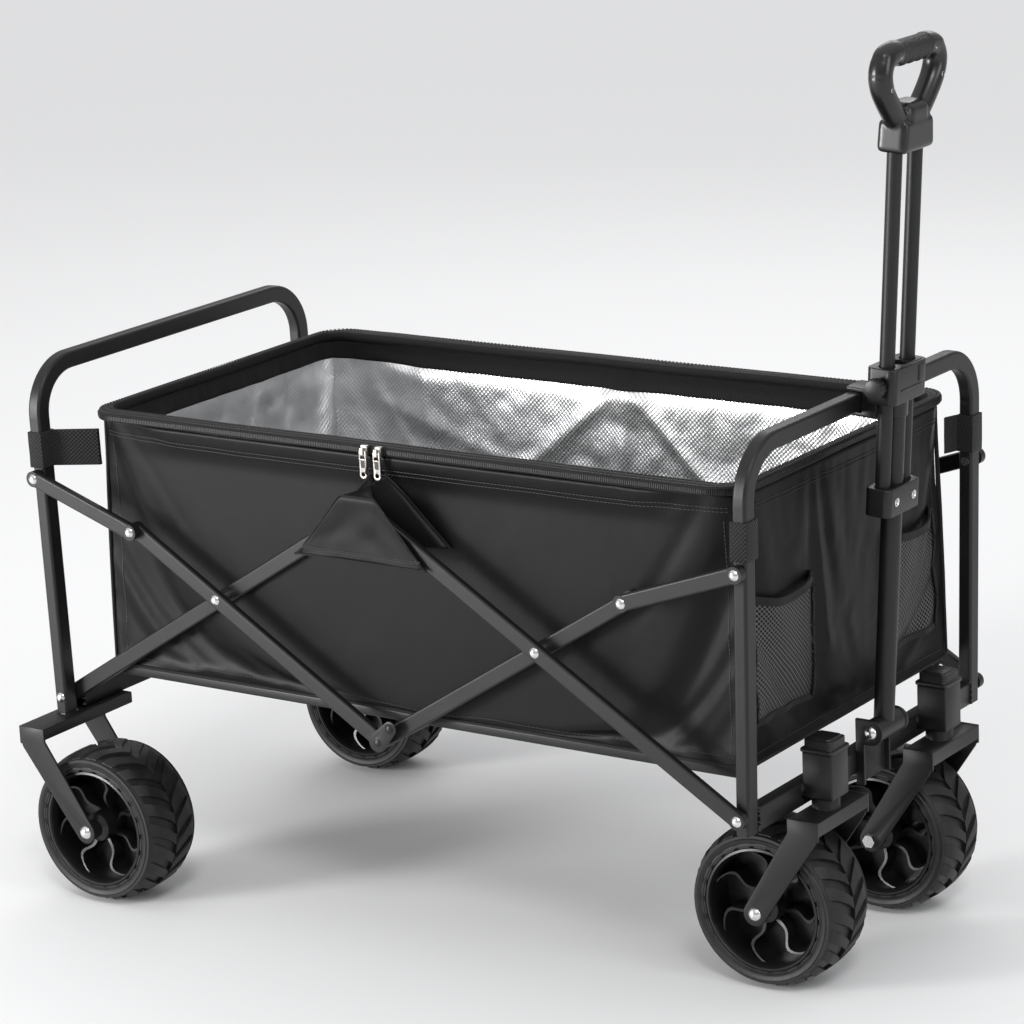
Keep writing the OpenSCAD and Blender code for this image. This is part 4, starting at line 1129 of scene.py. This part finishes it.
def makeHood(name, key, side, replaces, cfg):
    lo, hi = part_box("apex_flaps")
    half, face = (hi.x - lo.x) / 2, hi.y - 0.0006
    mid = hubS if side < 0 else bag["length"] - hubS
    (wide, low), (narrow, high) = cfg["seam"]

    def along(u, points):
        k = max(0.0, (abs(u) - cfg["bend"]) / (1 - cfg["bend"]))
        x = points[1][0] * min(1.0, abs(u) / cfg["bend"]) + (points[0][0] - points[1][0]) * k
        return math.copysign(x, u), points[1][1] + (points[0][1] - points[1][1]) * k

    def spot(i, j):
        u = 2 * i / cfg["cols"] - 1
        sx, sz = along(u, ((wide, low), (narrow, high)))
        sewn = onWall(key, mid + sx, sz, 0.0006)
        fx, fz = along(u, ((half, lo.z), (cfg["ridge"], hi.z)))
        edge = Vector((hubX + side * fx, side * face, fz - 0.0004))
        if j <= cfg["roof"]:
            k = j / cfg["roof"]
            return sewn.lerp(edge, k) - Vector((0, 0, 0.003 * math.sin(math.pi * k) * (1 - u * u)))
        k = (j - cfg["roof"]) / cfg["face"]
        dent = 0.0012 * math.sin(math.pi * k) * (1 - u * u) * (1 + noise.noise(Vector((u * 3, k * 3, side))))
        return edge.lerp(Vector((hubX + side * half * u, side * face, lo.z)), k) - Vector((0, side * dent, 0))

    rows = cfg["roof"] + cfg["face"]
    grid = relax([[spot(i, j) for i in range(cfg["cols"] + 1)] for j in range(rows + 1)], 3)
    bm = panel(cfg["cols"], rows, cfg["weave"], lambda i, j: grid[j][i])
    bmesh.ops.remove_doubles(bm, verts=bm.verts, dist=1e-5)
    area = sum(f.calc_area() for f in bm.faces)
    obj = finish(name, bm, "apex_flaps", cloth, replaces, 70)
    shaped(obj, ("SOLIDIFY", dict(thickness=cfg["thick"], offset=-1, use_rim=True)))
    recalc(obj)
    withFold(obj)
    pipes, lines = bmesh.new(), bmesh.new()
    merge(pipes, tube([p + Vector((0, side * 0.0012, 0.0005)) for p in grid[0]], cfg["piping"]))
    merge(pipes, tube([p + Vector((0, side * 0.0006, 0.0005)) for p in grid[cfg["roof"]]],
                      cfg["piping"] * 0.7))
    across = [k / 20 - 1 for k in range(41)]
    band = [Vector((hubX + x * half * 0.985, side * (face + 0.0004), lo.z + 0.0008)) for x in across]
    merge(pipes, tube(band, cfg["piping"] * 0.9))
    for up in cfg["hemRows"]:
        stitches(lines, [Vector((hubX + x * (half - up * 0.9), side * (face + 0.0001), lo.z + up))
                         for x in across])
    boxUv(pipes)
    withFold(finish(name + "Piping", pipes, "apex_flaps", tape))
    withFold(finish(name + "Stitches", lines, "apex_flaps", thread))


makeHood("hoodRight", "bagRightWall", -1, ["apex_flaps"], hood)
makeHood("hoodLeft", "bagLeftWall", 1, [], hood)
print("stage: hoods")

# Pockets: netting on the front wall, gathered by an elastic along the top
pocket = dict(inner=0.078, width=0.114, foot=0.041, height=0.132, bulge=0.0075, sag=0.010, elastic=0.0085,
              binding=(0.0016, 0.0032), cols=40, rows=44)


def strip(halfThick, halfWide):
    return [(-halfThick, -halfWide), (halfThick, -halfWide), (halfThick, halfWide), (-halfThick, halfWide)]


def makePocket(side, cfg):
    centre = bag["half"] + side * (cfg["inner"] + cfg["width"] / 2)

    def at(i, j):
        a, b = 2 * i / cfg["cols"] - 1, j / cfg["rows"]
        s = centre + a * cfg["width"] / 2
        t = cfg["foot"] + b * (cfg["height"] - cfg["sag"] * (1 - a * a) * b)
        out = 0.0008 + cfg["bulge"] * (1 - a ** 4) * math.sin(min(1.0, b * 1.15) * math.pi * 0.62)
        out += 0.0008 * noise.noise(Vector((s * 40, t * 40, side)))
        return onWall("bagFrontWall", s, t, out)

    name = "pocket" + ("Right" if side < 0 else "Left")
    obj = finish(name, panel(cfg["cols"], cfg["rows"], (cfg["width"], cfg["height"]), at),
                 "mesh_pockets", mesh, ["mesh_pockets"] if side < 0 else [], 70)
    shaped(obj, ("SUBSURF", dict(levels=1, render_levels=1)))
    edge = [at(0, j) for j in range(cfg["rows"], -1, -1)] + [at(i, 0) for i in range(cfg["cols"] + 1)] + \
        [at(cfg["cols"], j) for j in range(cfg["rows"] + 1)]
    bm = tube([p + Vector((0.0004, 0, 0)) for p in edge], profile=strip(*cfg["binding"]))
    top = [at(i, cfg["rows"]) + Vector((0.0006, 0, 0)) for i in range(cfg["cols"] + 1)]
    merge(bm, tube(top, profile=strip(0.0012, cfg["elastic"] / 2)))
    boxUv(bm)
    finish(name + "Binding", bm, "mesh_pockets", tape)


for side in (-1, 1):
    makePocket(side, pocket)


# Straps: coarse webbing around each post
strap = dict(wide=0.041, edge=0.0005, ripple=0.0004)


def makeStraps(node, cfg):
    bm = cadCopy(node)
    cutAlong(bm, 2, 0.03, 9)
    rounded(bm, sharpEdges(bm, 35), cfg["edge"])
    for v in bm.verts:
        v.co += v.normal * cfg["ripple"] * noise.noise(v.co * 55)
    boxUv(bm)
    area = sum(f.calc_area() for f in bm.faces) / 2
    obj = finish(camel(node), bm, node, sleeve, [node], 50)
    area / cfg["wide"]
    return obj


withFold(makeStraps("rear_post_straps", strap))
makeStraps("front_post_straps", strap)

# Zip pulls: a bordered tab on a wire loop
for node in ("zip_pull_rear", "zip_pull_front"):
    softened(node, 0.0004, nickel)
    lo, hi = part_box(node)
    bm = block((0.0052, 0.0006, 0.0085), ((lo.x + hi.x) / 2, lo.y + 0.0001, lo.z + 0.0165), 0.0002, 1)
    finish(camel(node) + "Field", bm, node, plastic)
print("stage: trims")

# The room: a pale floor under a wide soft sky, one large light and two fills
room = dict(floor=(0.80, 0.80, 0.80), sky=(0.98, 0.985, 1.0), horizon=0.28, zenith=0.98, sun=0.80,
            sunTurn=(38, 18, 20), sunSize=14, floorSize=60, floorDrop=0.0004,
            lights=[("key", (-2.3, -3.2, 0.92), (0, 0, 0.38), (0.9, 1.5), 150, (1, 1, 1)),
                    ("side", (3.4, -0.4, 1.6), (0.2, 0, 0.3), (0.7, 1.8), 22, (0.96, 0.98, 1)),
                    ("back", (-1.2, 3.2, 2.4), (0, 0, 0.5), (2.4, 0.7), 20, (1, 1, 1))])


def areaLight(name, place, at, size, power, tint):
    data = bpy.data.lights.new(name, "AREA")
    data.shape, data.size, data.size_y = "RECTANGLE", *size
    data.energy, data.color = power, tint
    obj = placed(name, data)
    obj.location = place
    obj.rotation_euler = (Vector(at) - Vector(place)).to_track_quat("-Z", "Y").to_euler()


def makeRoom(cfg):
    bm = bmesh.new()
    bmesh.ops.create_grid(bm, x_segments=1, y_segments=1, size=cfg["floorSize"])
    floor = placed("floor", meshOf("floor", bm))
    floor.location.z = -cfg["floorDrop"]
    s = Shade("floor", Roughness=0.75)
    s.put(Base_Color=s.mix(s.noise(2.5, 2) * 0.5, cfg["floor"], tuple(c * 0.97 for c in cfg["floor"])))
    floor.data.materials.append(s.material)
    world = bpy.data.worlds.new("sky")
    world.use_nodes = True
    tree = world.node_tree
    coords, split, ramp = (tree.nodes.new("ShaderNode" + k) for k in ("TexCoord", "SeparateXYZ", "MapRange"))
    ramp.inputs["To Min"].default_value, ramp.inputs["To Max"].default_value = cfg["horizon"], cfg["zenith"]
    back = tree.nodes["Background"].inputs
    back["Color"].default_value = (*cfg["sky"], 1)
    tree.links.new(coords.outputs["Generated"], split.inputs[0])
    tree.links.new(split.outputs["Z"], ramp.inputs["Value"])
    tree.links.new(ramp.outputs["Result"], back["Strength"])
    scene.world = world
    data = bpy.data.lights.new("sun", "SUN")
    data.energy, data.angle = cfg["sun"], math.radians(cfg["sunSize"])
    placed("sun", data).rotation_euler = [math.radians(a) for a in cfg["sunTurn"]]
    for light in cfg["lights"]:
        areaLight(*light)
    scene.view_settings.view_transform = "Standard"


makeRoom(room)
print("stage: room")
